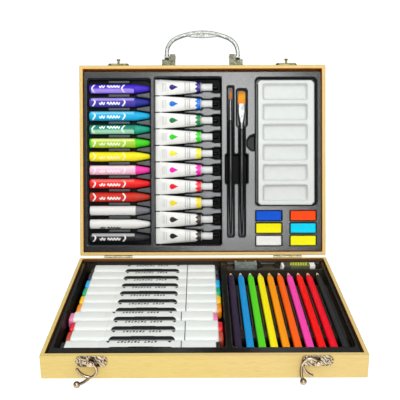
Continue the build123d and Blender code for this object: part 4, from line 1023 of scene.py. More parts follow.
@dataclass
class PressedSheet:
    """A thin sheet pressed into steps, as a grid whose lines are drawn onto the edges of the steps."""

    x_range: Pair
    y_range: Pair
    top: float
    cell: float = 0.86
    steps: list[tuple[Distance, float]] = field(default_factory=list)
    outline: Optional[Distance] = None
    softness: float = 0.42
    slope_step: float = 0.02
    least_step: float = 0.4
    great_step: float = 5.0
    outline_level: float = -99.0
    most_move: float = 0.48

    def press(self, shape: Distance, level: float) -> None:
        """Adds a step: inside the shape the sheet lies at a level under its top."""
        self.steps.append((shape, level))

    def heights(self, x: np.ndarray, y: np.ndarray) -> np.ndarray:
        """Gives how far under its top the sheet lies.

        Args:
            x: X of the points.
            y: Y of the points.

        Returns:
            Their depths.
        """
        deep = np.zeros_like(x)
        for shape, level in self.steps:
            inside = np.clip(0.5 - shape(x, y) / (2 * self.softness), 0, 1)
            inside = inside * inside * (3 - 2 * inside)
            deep = deep * (1 - inside) + level * inside
        return deep

    def drawn(self, x: np.ndarray, y: np.ndarray) -> tuple[np.ndarray, np.ndarray]:
        """Moves the grid's points onto the top or foot of the nearest step.

        Args:
            x: X of the points.
            y: Y of the points.

        Returns:
            Their new X and Y.
        """
        best = np.full_like(x, np.inf)
        move_x, move_y = np.zeros_like(x), np.zeros_like(y)
        deep = np.zeros_like(x)
        near = self.slope_step
        edges = [(self.outline, self.outline_level)] if self.outline else []
        for shape, level in self.steps + edges:
            far = shape(x, y)
            slope_x = (shape(x + near, y) - shape(x - near, y)) / (2 * near)
            slope_y = (shape(x, y + near) - shape(x, y - near)) / (2 * near)
            target = np.where(far > 0, self.softness, -self.softness)
            rise = np.abs(level - deep)
            wanted = (np.abs(far) < self.cell) & (rise > self.least_step)
            closer = wanted & ((np.abs(far) < best) | (rise > self.great_step))
            move_x = np.where(closer, (target - far) * slope_x, move_x)
            move_y = np.where(closer, (target - far) * slope_y, move_y)
            best = np.where(closer, np.abs(far), best)
            deep = np.where(far < -self.cell, level, deep)
        most = self.cell * self.most_move
        return x + np.clip(move_x, -most, most), y + np.clip(move_y, -most, most)

    def lines(self, low: float, high: float) -> np.ndarray:
        """Gives the places of the grid's lines over a range."""
        return np.linspace(low, high, round((high - low) / self.cell) + 1)

    def grid(self) -> tuple[np.ndarray, np.ndarray]:
        """Lays the grid and presses it.

        Returns:
            The points, and the numbers of the corners of each face.
        """
        x, y = np.meshgrid(self.lines(*self.x_range), self.lines(*self.y_range))
        inner = (slice(1, -1), slice(1, -1))
        drawn_x, drawn_y = self.drawn(x, y)
        x[inner], y[inner] = drawn_x[inner], drawn_y[inner]
        z = self.top - self.heights(x, y)
        place = np.stack([x.ravel(), y.ravel(), z.ravel()], axis=1)
        count = x.shape[1]
        start = (np.arange(x.shape[0] - 1)[:, None] * count + np.arange(count - 1)).ravel()
        quads = np.stack([start, start + 1, start + count + 1, start + count], axis=1)
        if self.outline:
            middle = place[quads].mean(axis=1)
            quads = quads[self.outline(middle[:, 0], middle[:, 1]) < 0]
        return place, quads

    def mesh(self, name: str, skirt: float) -> Mesh:
        """Makes the mesh.

        Args:
            name: Its name.
            skirt: How far its edge is turned down.

        Returns:
            The mesh, in the half's millimetres.
        """
        place, quads = self.grid()
        mesh = bpy.data.meshes.new(name)
        mesh.from_pydata(place.tolist(), [], quads.tolist())
        shape = bmesh.new()
        shape.from_mesh(mesh)
        bmesh.ops.delete(shape, geom=[v for v in shape.verts if not v.link_faces], context="VERTS")
        rim = [edge for edge in shape.edges if len(edge.link_faces) == 1]
        turned = bmesh.ops.extrude_edge_only(shape, edges=rim)["geom"]
        for vertex in (g for g in turned if isinstance(g, bmesh.types.BMVert)):
            vertex.co.z = self.top - skirt
        if self.outline:
            foot = [edge for edge in shape.edges if len(edge.link_faces) == 1]
            bmesh.ops.holes_fill(shape, edges=foot, sides=0)
            bmesh.ops.recalc_face_normals(shape, faces=shape.faces)
        for face in shape.faces:
            face.smooth = True
        shape.to_mesh(mesh)
        shape.free()
        weighted_normals(mesh)
        return mesh


def weighted_normals(mesh: Mesh) -> None:
    """Gives a mesh smooth normals that follow its larger faces, so that its edges look rounded.

    Args:
        mesh: The mesh.
    """
    total = np.zeros((len(mesh.vertices), 3))
    for face in mesh.polygons:
        total[list(face.vertices)] += np.array(face.normal) * face.area
    length = np.linalg.norm(total, axis=1, keepdims=True)
    mesh.normals_split_custom_set_from_vertices((total / np.maximum(length, 1e-9)).tolist())


@dataclass
class Woodwork:
    """The boards of the two halves, which keep their solids."""

    long_boards: tuple[str, ...] = ("front_wall", "back_wall", "panel")
    short_boards: tuple[str, ...] = ("left_wall", "right_wall")
    # Darker inner wall faces of the base: painted shade.
    inner_shade_base: str = "#6e3e12"

    def dress(self) -> None:
        """Gives every board wood whose grain runs along it, with inner wall faces darker in the base as
        painted shade and brighter in the lid as painted light.
        """
        boards = {Grain.ALONG_X: self.long_boards, Grain.ALONG_Y: self.short_boards}
        for half, inside in ((Half.BASE, self.inner_shade_base), (Half.LID, WoodFinish.inside)):
            for grain, names in boards.items():
                finish = WoodFinish(half, grain, inside=inside).material()
                for board in names:
                    coat(f"{half.value}_{board}", finish)


@dataclass
class Metalwork:
    """Hinges, latches, catches, the handle and their fasteners, which keep their solids."""

    nickel: tuple[str, ...] = ("left_latch_plate", "right_latch_plate")
    bright: tuple[str, ...] = (
        "left_latch_hook", "right_latch_hook", "left_latch_rivet", "right_latch_rivet", "latch_nails",
    )
    brass: tuple[str, ...] = (
        "left_catch_plate", "right_catch_plate", "left_catch_post", "right_catch_post", "catch_nails",
    )
    chrome: tuple[str, ...] = ("handle_bail",)
    olive: tuple[str, ...] = ("left_handle_bracket", "right_handle_bracket")
    steel: tuple[str, ...] = (
        "left_hinge_base_leaf", "left_hinge_lid_leaf", "left_hinge_pin", "right_hinge_base_leaf",
        "right_hinge_lid_leaf", "right_hinge_pin", "base_hinge_screws", "lid_hinge_screws",
        "handle_screws", "sharpener_screws",
    )

    def dress(self) -> None:
        """Gives each fitting its plating."""
        # Faces of the latch hooks turned away from the front, and of the handle bail turned away from the
        # lid's outside, darken as painted shade.
        front, out, lid = Vector((0, 1, 0)), lid_out(), Half.LID
        for nodes, finish in (
            (self.nickel, MetalFinish("antique_nickel", "#f2e4c8", "#c4ae86", 0.2, 0.4,
                                      engraving=0.16, tarnish_and_shade="#20160a")),
            (self.bright, MetalFinish("nickel_wire", "#f0dcc0", "#caa880", 0.14, 0.34,
                                      tarnish_and_shade="#241608", flat=front)),
            (self.brass, MetalFinish("dull_brass", "#a39a6a", "#615b38", 0.28, 0.5, half=lid)),
            (self.chrome, MetalFinish("chrome", "#9da19f", "#6f7368", 0.22, 0.38,
                                      tarnish_and_shade="#4a4e48", flat=out, half=lid)),
            (self.olive, MetalFinish("bracket_nickel", "#6c6b58", "#35352a", 0.24, 0.42, half=lid)),
            (self.steel, MetalFinish("zinc", "#c8c6bd", "#8f8d85", 0.26, 0.46)),
        ):
            material = finish.material()
            for node in nodes:
                coat(node, material)


@dataclass
class BaseTray:
    """The black sheet of the base, with bays for the markers and the pencils."""

    top: float = 21.0
    edge: Pair = (145.5, 111.5)
    marker_bay: Box = (-140.8, 20.5, -96.05, 109.15)
    pencil_bay: Box = (27.5, 141.5, -96.2, 88.5)
    ledge: Box = (27.5, 141.5, 85.5, 109.0)
    sharpener: Box = (36.8, 65.2, 92.4, 108.4)
    eraser: Box = (91.4, 139.7, 93.4, 107.8)
    notches: tuple[Pair, ...] = ((65.2, 103.0), (91.4, 103.0))
    notch_radius: float = 6.5
    floor: float = 17.2
    ledge_drop: float = 2.5
    eraser_floor: float = 9.8
    saddle: Pair = (-62.9, 60.5)
    saddle_drop: float = 8.78
    saddle_gap: float = 0.4
    rib_run: Pair = (-43.6, 27.7)
    rib_width: float = 2.6
    rib_height: float = 4.4
    first_rib: float = 38.05
    rib_pitch: float = 11.31
    rib_count: int = 9
    bay_corner: float = 3.0
    ledge_corner: float = 2.0
    pocket_corner: float = 1.0
    rib_corner: float = 0.6
    skirt: float = 0.8
    # Floor, mid-height and flange colours: the black floor is painted shade and the lighter mid colour is
    # painted sheen.
    depth_shade_tones: tuple[str, str, str] = ("#030303", "#38322a", "#101110")
    shine: float = 0.3

    def build(self) -> None:
        """Makes the tray in place of its solid."""
        sheet = PressedSheet((-self.edge[0], self.edge[0]), (-self.edge[1], self.edge[1]), self.top)
        sheet.press(box_distance(self.marker_bay, self.bay_corner), self.floor)
        sheet.press(box_distance(self.ledge, self.ledge_corner), self.ledge_drop)
        sheet.press(box_distance(self.pencil_bay, self.bay_corner), self.floor)
        low, high = self.pencil_bay[:2]
        saddle = (low + self.saddle_gap, high - self.saddle_gap, *self.saddle)
        sheet.press(box_distance(saddle, self.rib_corner), self.saddle_drop)
        for number in range(self.rib_count):
            x = self.first_rib + number * self.rib_pitch
            rib = (x - self.rib_width / 2, x + self.rib_width / 2, *self.rib_run)
            sheet.press(box_distance(rib, self.rib_corner), self.saddle_drop - self.rib_height)
        for notch in self.notches:
            sheet.press(disc_distance(*notch, self.notch_radius), self.eraser_floor)
        sheet.press(box_distance(self.eraser, self.pocket_corner), self.eraser_floor)
        sheet.press(box_distance(self.sharpener, self.pocket_corner), self.floor)
        finish = SheetFinish(Half.BASE, self.top, self.top - self.floor, self.depth_shade_tones, self.shine)
        mesh = sheet.mesh("base_tray_sheet", self.skirt)
        Seat(Half.BASE, "base").settle(
            "base_tray_sheet", mesh, "tray_plastic", finish.material(), "base_tray"
        )


@dataclass
class LidTray:
    """The black sheet of the lid, with its bays, its slots and its finger recesses."""

    rim_drop: float = 3.3
    edge: Triple = (145.5, 4.5, 224.6)
    pastel_bay: Box = (-140.8, -64.1, 12.4, 216.5)
    pastel_floor: float = 12.9
    tube_bay: Box = (-58.8, 23.0, 12.0, 218.1)
    tube_floor: float = 14.5
    recess: Box = (28.0, 55.4, 87.8, 123.4)
    floor: float = 16.9
    palette_pocket: Box = (65.0, 140.2, 60.5, 217.3)
    palette_floor: float = 9.0
    palette_corner: float = 5.3
    notch: Triple = (64.2, 137.6, 9.8)
    notch_floor: float = 13.0
    slots: tuple[Pair, ...] = ((34.4, 207.3), (48.2, 185.9))
    slot_start: float = 21.9
    head_slot: Box = (42.0, 54.4, 157.4, 203.4)
    slot_floor: float = 8.6
    slot_half: float = 4.1
    snap: Pair = (0.35, 19.0)
    cake_half: Pair = (15.7, 6.2)
    cake_corner: float = 1.1
    cake_floor: float = 5.9
    bar: Pair = (-116.1, -89.1)
    bar_half: float = 2.1
    bar_level: float = 0.35
    bar_corner: float = 0.6
    wedge: Pair = (-81.7, -64.1)
    wedge_widths: Pair = (1.5, 4.2)
    cap_rest: Pair = (12.9, 18.8)
    rest_half: float = 0.9
    rest_level: float = 0.62
    rest_corner: float = 0.5
    hourglass_level: float = 0.25
    hourglass: tuple[float, ...] = (-22.5, -6.5, -1.9, 0.5, 9.5, 15.5, 23.0)
    hourglass_widths: tuple[float, ...] = (1.0, 2.3, 2.9, 5.0, 5.0, 3.0, 3.0)
    bay_corner: float = 3.0
    recess_corner: float = 2.0
    skirt: float = 0.8
    # Floor, mid-height and flange colours: the black floor is painted shade and the lighter mid colour is
    # painted sheen.
    depth_shade_tones: tuple[str, str, str] = ("#040404", "#4c5153", "#1e2225")
    shine: float = 0.8

    def build(self) -> None:
        """Makes the tray in place of its solid."""
        side, low, high = self.edge
        sheet = PressedSheet((-side, side), (low, high), -self.rim_drop)
        self.press_pastel_bay(sheet)
        self.press_tube_bay(sheet)
        for x, end in self.slots:
            sheet.press(self.slot(x, end), self.slot_floor)
        sheet.press(box_distance(self.head_slot, self.bay_corner), self.slot_floor)
        sheet.press(box_distance(self.recess, self.recess_corner), self.floor)
        sheet.press(disc_distance(*self.notch), self.notch_floor)
        sheet.press(box_distance(self.palette_pocket, self.palette_corner), self.palette_floor)
        for x in PaletteAndCakes.cake_columns:
            for along in PaletteAndCakes.cake_rows:
                pocket = around(x, along, *self.cake_half)
                sheet.press(box_distance(pocket, self.cake_corner), self.cake_floor)
        finish = SheetFinish(
            Half.LID, -self.rim_drop, -self.rim_drop - self.tube_floor, self.depth_shade_tones, self.shine
        )
        mesh = sheet.mesh("lid_tray_sheet", self.skirt)
        Seat(Half.LID, "lid").settle("lid_tray_sheet", mesh, "tray_plastic", finish.material(), "lid_tray")

    def press_pastel_bay(self, sheet: PressedSheet) -> None:
        """Presses the bay of the pastels, with a bar and a wedge between each two.

        Args:
            sheet: The sheet that is pressed.
        """
        sheet.press(box_distance(self.pastel_bay, self.bay_corner), self.pastel_floor)
        level = self.pastel_floor * self.bar_level
        for number in range(Pastels.count):
            middle = Pastels.first + Pastels.pitch * (number + 0.5)
            bar = (*self.bar, middle - self.bar_half, middle + self.bar_half)
            sheet.press(box_distance(bar, self.bar_corner), level)
            if number < Pastels.count - 1:
                sheet.press(spine_distance(middle, self.wedge, self.wedge_widths), level)

    def press_tube_bay(self, sheet: PressedSheet) -> None:
        """Presses the bay of the tubes, with a rest for each cap and a rib between each two.

        Args:
            sheet: The sheet that is pressed.
        """
        sheet.press(box_distance(self.tube_bay, self.bay_corner), self.tube_floor)
        for number in range(Tubes.count):
            along = Tubes.first + Tubes.pitch * number
            rest = (*self.cap_rest, along - self.rest_half, along + self.rest_half)
            sheet.press(box_distance(rest, self.rest_corner), self.tube_floor * self.rest_level)
            if number < Tubes.count - 1:
                rib = spine_distance(along + Tubes.pitch / 2, self.hourglass, self.hourglass_widths)
                sheet.press(rib, self.tube_floor * self.hourglass_level)

    def slot(self, x: float, end: float) -> Distance:
        """Gives the outline of a brush slot.

        Args:
            x: Its middle line.
            end: How far it runs up the lid.

        Returns:
            The distance outside it, whose edges are wavy for the snap fit.
        """
        size, pitch = self.snap
        plain = box_distance((x - self.slot_half, x + self.slot_half, self.slot_start, end), 3.0)
        return lambda px, py: plain(px, py) + size * np.sin(py * 2 * math.pi / pitch) ** 8


@dataclass
class Markers:
    """Ten double-ended markers: a white barrel and caps, and a coloured plug at each end."""

    first: float = 98.8
    pitch: float = 20.5
    count: int = 10
    start: float = -129.75
    length: float = 144.3
    width: float = 20.2
    thickness: float = 14.5
    corner: float = 4.5
    top: float = 18.6
    cap: float = 32.9
    plug: float = 4.6
    plug_inset: float = 1.3
    shifts: tuple[Pair, ...] = ((6, -4.4), (9, -3.1))
    seam: float = 0.75
    joint: Pair = (0.3, 0.32)
    ink_lift: float = 0.03
    panel: Pair = (37.05, 101.85)
    panel_rows: tuple[Triple, ...] = (
        (-9.95, 0.0, 0.0), (-9.5, 0.1, 0.0), (-8.9, 0.4, 0.0), (-8.1, 0.9, 0.0),
        (-7.1, 1.7, 0.0), (-6.2, 2.7, 0.1), (-5.3, 4.4, 0.6),
    )
    panel_shares: tuple[float, ...] = (0.0, 0.1, 0.2, 0.3, 0.32, 0.5, 0.7, 0.72, 0.85, 1.0)
    raised: Pair = (0.31, 0.71)
    print_line: float = 4.4
    bars: tuple[float, float, int] = (13.0, 16.5, 12)
    left_out: int = 7
    colours: Colours = (
        "#15141c", "#211b45", "#12b2ee", "#08b079", "#ffc905", "#ff960c",
        "#f07fae", "#e60c22", "#c0432a", "#141416",
    )

    def places(self) -> list[Triple]:
        """Where the left end of each white body lies, from the back to the front."""
        shift, middle = dict(self.shifts), self.top - self.thickness / 2
        starts = [self.start + shift.get(row, 0.0) for row in range(self.count)]
        return [(start, self.first - self.pitch * row, middle) for row, start in enumerate(starts)]

    def bar(self, form: Form, profile: Sequence[Pair], mirror: bool = False) -> None:
        """Adds a rounded bar.

        Args:
            form: The form.
            profile: Places along the marker and insets there.
            mirror: Whether it lies at the marker's right end.
        """
        if mirror:
            profile = [(self.length - x, d) for x, d in reversed(profile)]
        form.loft([
            bar_ring(x, self.width - 2 * d, self.thickness - 2 * d, self.corner - d * 0.6)
            for x, d in profile
        ])

    def bars_mesh(self, name: str, profile: Sequence[Pair], both_ends: bool) -> Mesh:
        """Makes a rounded bar from a profile, at one place or at both ends of the marker.

        Args:
            name: Name of the mesh.
            profile: The profile.
            both_ends: Whether it is made at both ends.

        Returns:
            The mesh.
        """
        form = Form()
        for mirror in (False, True)[: 1 + both_ends]:
            self.bar(form, profile, mirror)
        return form.mesh(name)

    def body(self) -> Mesh:
        """One barrel between its caps."""
        low, high = self.cap + 0.02, self.length - self.cap - self.seam
        profile = [
            (low, 0.1), (low + 0.05, 0.02), (low + 0.4, 0.0),
            (high - 0.4, 0.0), (high - 0.1, 0.06), (high, 0.3),
        ]
        return self.bars_mesh("marker_barrel", profile, False)

    def joints(self) -> Mesh:
        """The dark ring where the right cap meets the barrel, painted shade for the groove there."""
        end, (lap, inset) = self.length - self.cap, self.joint
        return self.bars_mesh("marker_joint_shade", [(end - self.seam - lap, inset), (end + lap, inset)], False)

    def caps(self) -> Mesh:
        """The two caps of one marker, with a softened end round the plug."""
        profile = [
            (0.0, 1.5), (0.1, 1.0), (0.5, 0.35), (1.1, 0.06), (2.0, 0.0),
            (self.cap - 0.5, 0.0), (self.cap - 0.15, 0.08), (self.cap, 0.35),
        ]
        return self.bars_mesh("marker_caps", profile, True)

    def plugs(self) -> Mesh:
        """The two plugs of one marker, domed at their ends."""
        dome = [(0.0, 3.2), (0.25, 2.2), (0.9, 1.55), (1.6, self.plug_inset)]
        profile = [(x - self.plug, d) for x, d in dome] + [(-0.02, self.plug_inset)]
        return self.bars_mesh("marker_plugs", profile, True)

    def face(self, x: float, y: float) -> Vector:
        """Gives a place on the upper face, a hair above it.

        Args:
            x: How far it lies along the marker.
            y: How far it lies off the marker's middle.

        Returns:
            The point.
        """
        over = max(abs(y) - (self.width / 2 - self.corner), 0.0)
        drop = self.corner - math.sqrt(max(self.corner**2 - over**2, 0.0))
        return Vector((x, y, self.thickness / 2 - drop + self.ink_lift))

    def print_panel(self) -> Mesh:
        """A long dark panel on the front edge, with swept ends and a raised middle."""
        low, high = self.panel
        rise_from, rise_to = self.raised
        lines = [
            [
                (low + (high - low) * s + inset * (1 - 2 * s), y + rise * (rise_from < s < rise_to))
                for s in self.panel_shares
            ]
            for y, inset, rise in self.panel_rows
        ]
        return Form().patch(self.face, lines).marks("marker_panel")

    def print_marks(self) -> Mesh:
        """Generic marks: an arrowhead at each end and a row of slanted bars between them."""
        form, line = Form(), self.print_line
        low, high = self.panel
        for x in (low + 3.6, high - 2.2):
            head = [[(x, line - 1.7), (x + 0.9, line - 1.7)], [(x - 1.9, line + 1.5), (x + 2.1, line + 1.5)]]
            form.patch(self.face, head, turned=True)
        left, right, count = self.bars
        for number, start in enumerate(np.linspace(low + left, high - right, count)):
            tall = 1.9 - 0.35 * (number % 2)
            foot, top = (
                [(start + shift, y), (start + shift + 2.0, y)]
                for shift, y in ((-0.3, line - tall), (0.5, line + tall))
            )
            if number != self.left_out:
                form.patch(self.face, [foot, top])
        return form.marks("marker_marks")

    def build(self) -> None:
        """Makes the markers in place of their solids."""
        seat, placed = Seat(Half.BASE, "markers"), self.places()
        straight = [(self.start, y, z) for _, y, z in placed]
        white = PlasticFinish("marker_white", ("#dfe3df",), 0.32, coat=0.1, mottle=0.03).material()
        cap_white = PlasticFinish("marker_cap_white", ("#e2e6e2",), 0.3, coat=0.1, mottle=0.03).material()
        plug = PlasticFinish("marker_plug", self.colours, 0.3, coat=0.4).material()
        ink = PlasticFinish("marker_ink", ("#0c0f0e",), 0.5, mottle=0.1, gloss=0.15).material()
        # Dark grey for the joint ring: painted shade in the groove at the right cap.
        grey = PlasticFinish("marker_joint_shade", ("#2c302e",), 0.5, mottle=0.2, gloss=0.2).material()
        seat.lay("marker_barrels_dressed", self.body(), "marker_white", white, placed, "marker_barrels")
        seat.lay("marker_joints", self.joints(), "marker_white", grey, placed)
        seat.lay("marker_caps_dressed", self.caps(), "marker_white", cap_white, placed, "marker_caps")
        seat.lay("marker_plugs_dressed", self.plugs(), "marker_colour", plug, placed, "marker_plugs")
        seat.lay("marker_panels", self.print_panel(), "marker_white", ink, straight)
        seat.lay("marker_marks", self.print_marks(), "marker_white", ink, placed)


@dataclass
class Pencils:
    """Ten hexagonal pencils with their points to the back."""

    first: float = 32.4
    pitch: float = 11.31
    height: float = 16.5
    start: float = -94.0
    length: float = 178.0
    flats: float = 6.9
    point: float = 17.0
    lead: float = 1.0
    bare_lead: float = 1.2
    blunting: float = 0.12
    per_side: int = 6
    straight: float = 150.0
    scallop: float = 0.42
    colours: Colours = (
        "#2a1a38", "#0795dc", "#55da1e", "#ffee05", "#ff9d08", "#ff660a",
        "#fb48b2", "#fb100e", "#f20a28", "#26282a",
    )
    count: int = 10

    @property
    def corner(self) -> float:
        """Distance of the hexagon's corners from its middle."""
        return self.flats / 2 / math.cos(math.radians(30))

    def reach(self, turn: float) -> float:
        """Distance of the side from the middle, from the degrees past a corner."""
        return min(self.flats / 2 / math.cos(math.radians(turn - 30)), self.corner - self.blunting)

    def cone(self, place: float) -> float:
        """Radius of the sharpened cone, at a place along the pencil."""
        slope = (self.corner - self.lead) * (self.length - self.bare_lead - place)
        return self.lead + slope / (self.point - self.bare_lead)

    def barrel(self) -> Mesh:
        """One barrel, whose paint ends in scallops where the point is cut.

        Returns:
            The mesh, which carries how much of the paint is cut away.
        """
        steps = [(side, step / self.per_side) for side in range(6) for step in range(self.per_side)]
        around = [(math.radians(60 * (side + part) + 30), self.reach(60 * part)) for side, part in steps]
        end = self.length - self.bare_lead
        rings = []
        for place in (0.0, 0.25, 0.7, *np.linspace(4, 156, 8), *np.linspace(160, end, 24)):
            rounding = 0.3 if place < 0.2 else 0.08 if place < 0.6 else 0.0
            radii = [reach - rounding for _, reach in around]
            if place > self.straight:
                radii = [min(radius, self.cone(place)) for radius in radii]
            rings.append([
                Vector((place, radius * math.cos(angle), radius * math.sin(angle)))
                for (angle, _), radius in zip(around, radii)
            ])
        mesh = Form().loft(rings).mesh("pencil_barrel", smooth=0.35)
        self.mark_bare(mesh)
        return mesh

    def mark_bare(self, mesh: Mesh) -> None:
        """Stores how much of the paint the sharpener has cut away at each point.

        Args:
            mesh: The barrel's mesh.
        """
        bare = mesh.attributes.new("bare", "FLOAT", "POINT")
        for number, vertex in enumerate(mesh.vertices):
            turn = (math.degrees(math.atan2(vertex.co.z, vertex.co.y)) - 30) % 60
            cut = self.reach(turn) - self.cone(vertex.co.x)
            bare.data[number].value = min(max(cut * self.scallop + 0.5, 0.0), 1.0)

    def leads(self) -> Mesh:
        """One lead, with a rounded tip and a flat blunt end."""
        end = self.length
        profile = [(-0.02, self.lead * 0.96), (end - 1.25, self.lead), (end - 0.35, 0.45), (end, 0.12)]
        return Form().loft([ring(x, [radius] * 12) for x, radius in profile]).mesh("pencil_lead")

    def build(self) -> None:
        """Makes the pencils in place of their solids."""
        seat = Seat(Half.BASE, "pencils")
        places = [(self.first + self.pitch * row, self.start, self.height) for row in range(self.count)]
        turns = [(0.0, 0.0, math.pi / 2)] * self.count
        core = PlasticFinish("pencil_core", self.colours, 0.6, mottle=0.1).material()
        paint = PencilFinish(self.colours).material()
        seat.lay("pencil_barrels_dressed", self.barrel(), "pencil_paint", paint, places,
                 "pencil_barrels", turns=turns)
        seat.lay("pencil_leads_dressed", self.leads(), "pencil_core", core, places,
                 "pencil_leads", turns=turns)


@dataclass
class SharpenerAndEraser:
    """The metal sharpener, which keeps its solids, and the eraser in its card sleeve."""

    left: float = 92.4
    front: float = 94.4
    length: float = 40.0
    width: float = 12.4
    bottom: float = 11.5
    height: float = 10.0
    slant: float = 2.0
    corner: float = 0.45
    sleeve_run: Pair = (2.5, 33.3)
    sleeve: float = 0.4
    ink_lift: float = 0.03
    bars: tuple[float, float, int] = (9.5, 27.5, 7)
    lines: tuple[float, float] = (10.3, 2.0)

    def block(self, low: float, high: float, grow: float, rounding: float) -> Form:
        """Lofts a slanted block along the eraser.

        Args:
            low: Where it starts.
            high: Where it ends.
            grow: How far it lies inside the sleeve's outside.
            rounding: Rounding of its ends.

        Returns:
            The form.
        """
        half, middle = self.width / 2 - grow, self.front + self.width / 2
        rings = []
        for place, inset in (
            (low, rounding), (low + rounding * 0.3, rounding * 0.3), (low + rounding, 0.0),
            (high - rounding, 0.0), (high - rounding * 0.3, rounding * 0.3), (high, rounding),
        ):
            outline = rounded(2 * (half - inset), self.height - 2 * (grow + inset), self.corner, 3)
            start, centre = self.left + place, self.bottom + self.height / 2
            rings.append([
                Vector((start + self.slant * (z / self.height + 0.5), middle + y, centre + z))
                for y, z in outline
            ])
        return Form().loft(rings)

    def top_face(self, x: float, y: float) -> Vector:
        """Place on the sleeve's upper face, from its left front corner."""
        top = self.bottom + self.height + self.ink_lift
        return Vector((self.left + self.slant + x, self.front + y, top))

    def sleeve_marks(self) -> Mesh:
        """A generic pattern on the sleeve: slanted bars between two lines."""
        form = Form()
        for x in np.linspace(*self.bars):
            form.patch(self.top_face, [[(x, 2.6), (x + 1.9, 2.6)], [(x + 1.2, 9.6), (x + 3.1, 9.6)]])
        for y in self.lines:
            form.stroke(self.top_face, [(12.5, y), (32.0, y)], 0.7)
        return form.marks("sleeve_marks")

    def build(self) -> None:
        """Dresses the sharpener and makes the eraser in place of its solids."""
        seat = Seat(Half.BASE, "eraser_block")
        for node, finish in (
            ("sharpener_body", MetalFinish("sharpener_metal", "#dcecee", "#a8bcc0", 0.34, 0.5, (1, 1, 0.1))),
            ("sharpener_blades", MetalFinish("blade_steel", "#d6dadb", "#8e9496", 0.14, 0.3, (1, 1, 0.1))),
        ):
            coat(node, finish.material())
        rubber = PlasticFinish("eraser_vinyl", ("#f2f1ea",), 0.62, mottle=0.1, texture=0.08)
        lime = PlasticFinish("sleeve_ink", ("#c9d43c",), 0.5, mottle=0.15)
        block = self.block(0.0, self.length, self.sleeve + 0.05, 0.5).mesh("eraser_dressed")
        seat.settle("eraser_dressed", block, "eraser_vinyl", rubber.material(), "eraser")
        card = self.block(*self.sleeve_run, 0.0, 0.04).mesh("eraser_sleeve_dressed")
        seat.settle("eraser_sleeve_dressed", card, "sleeve_card", CardFinish().material(), "eraser_sleeve")
        seat.settle("eraser_sleeve_marks", self.sleeve_marks(), "sleeve_card", lime.material())


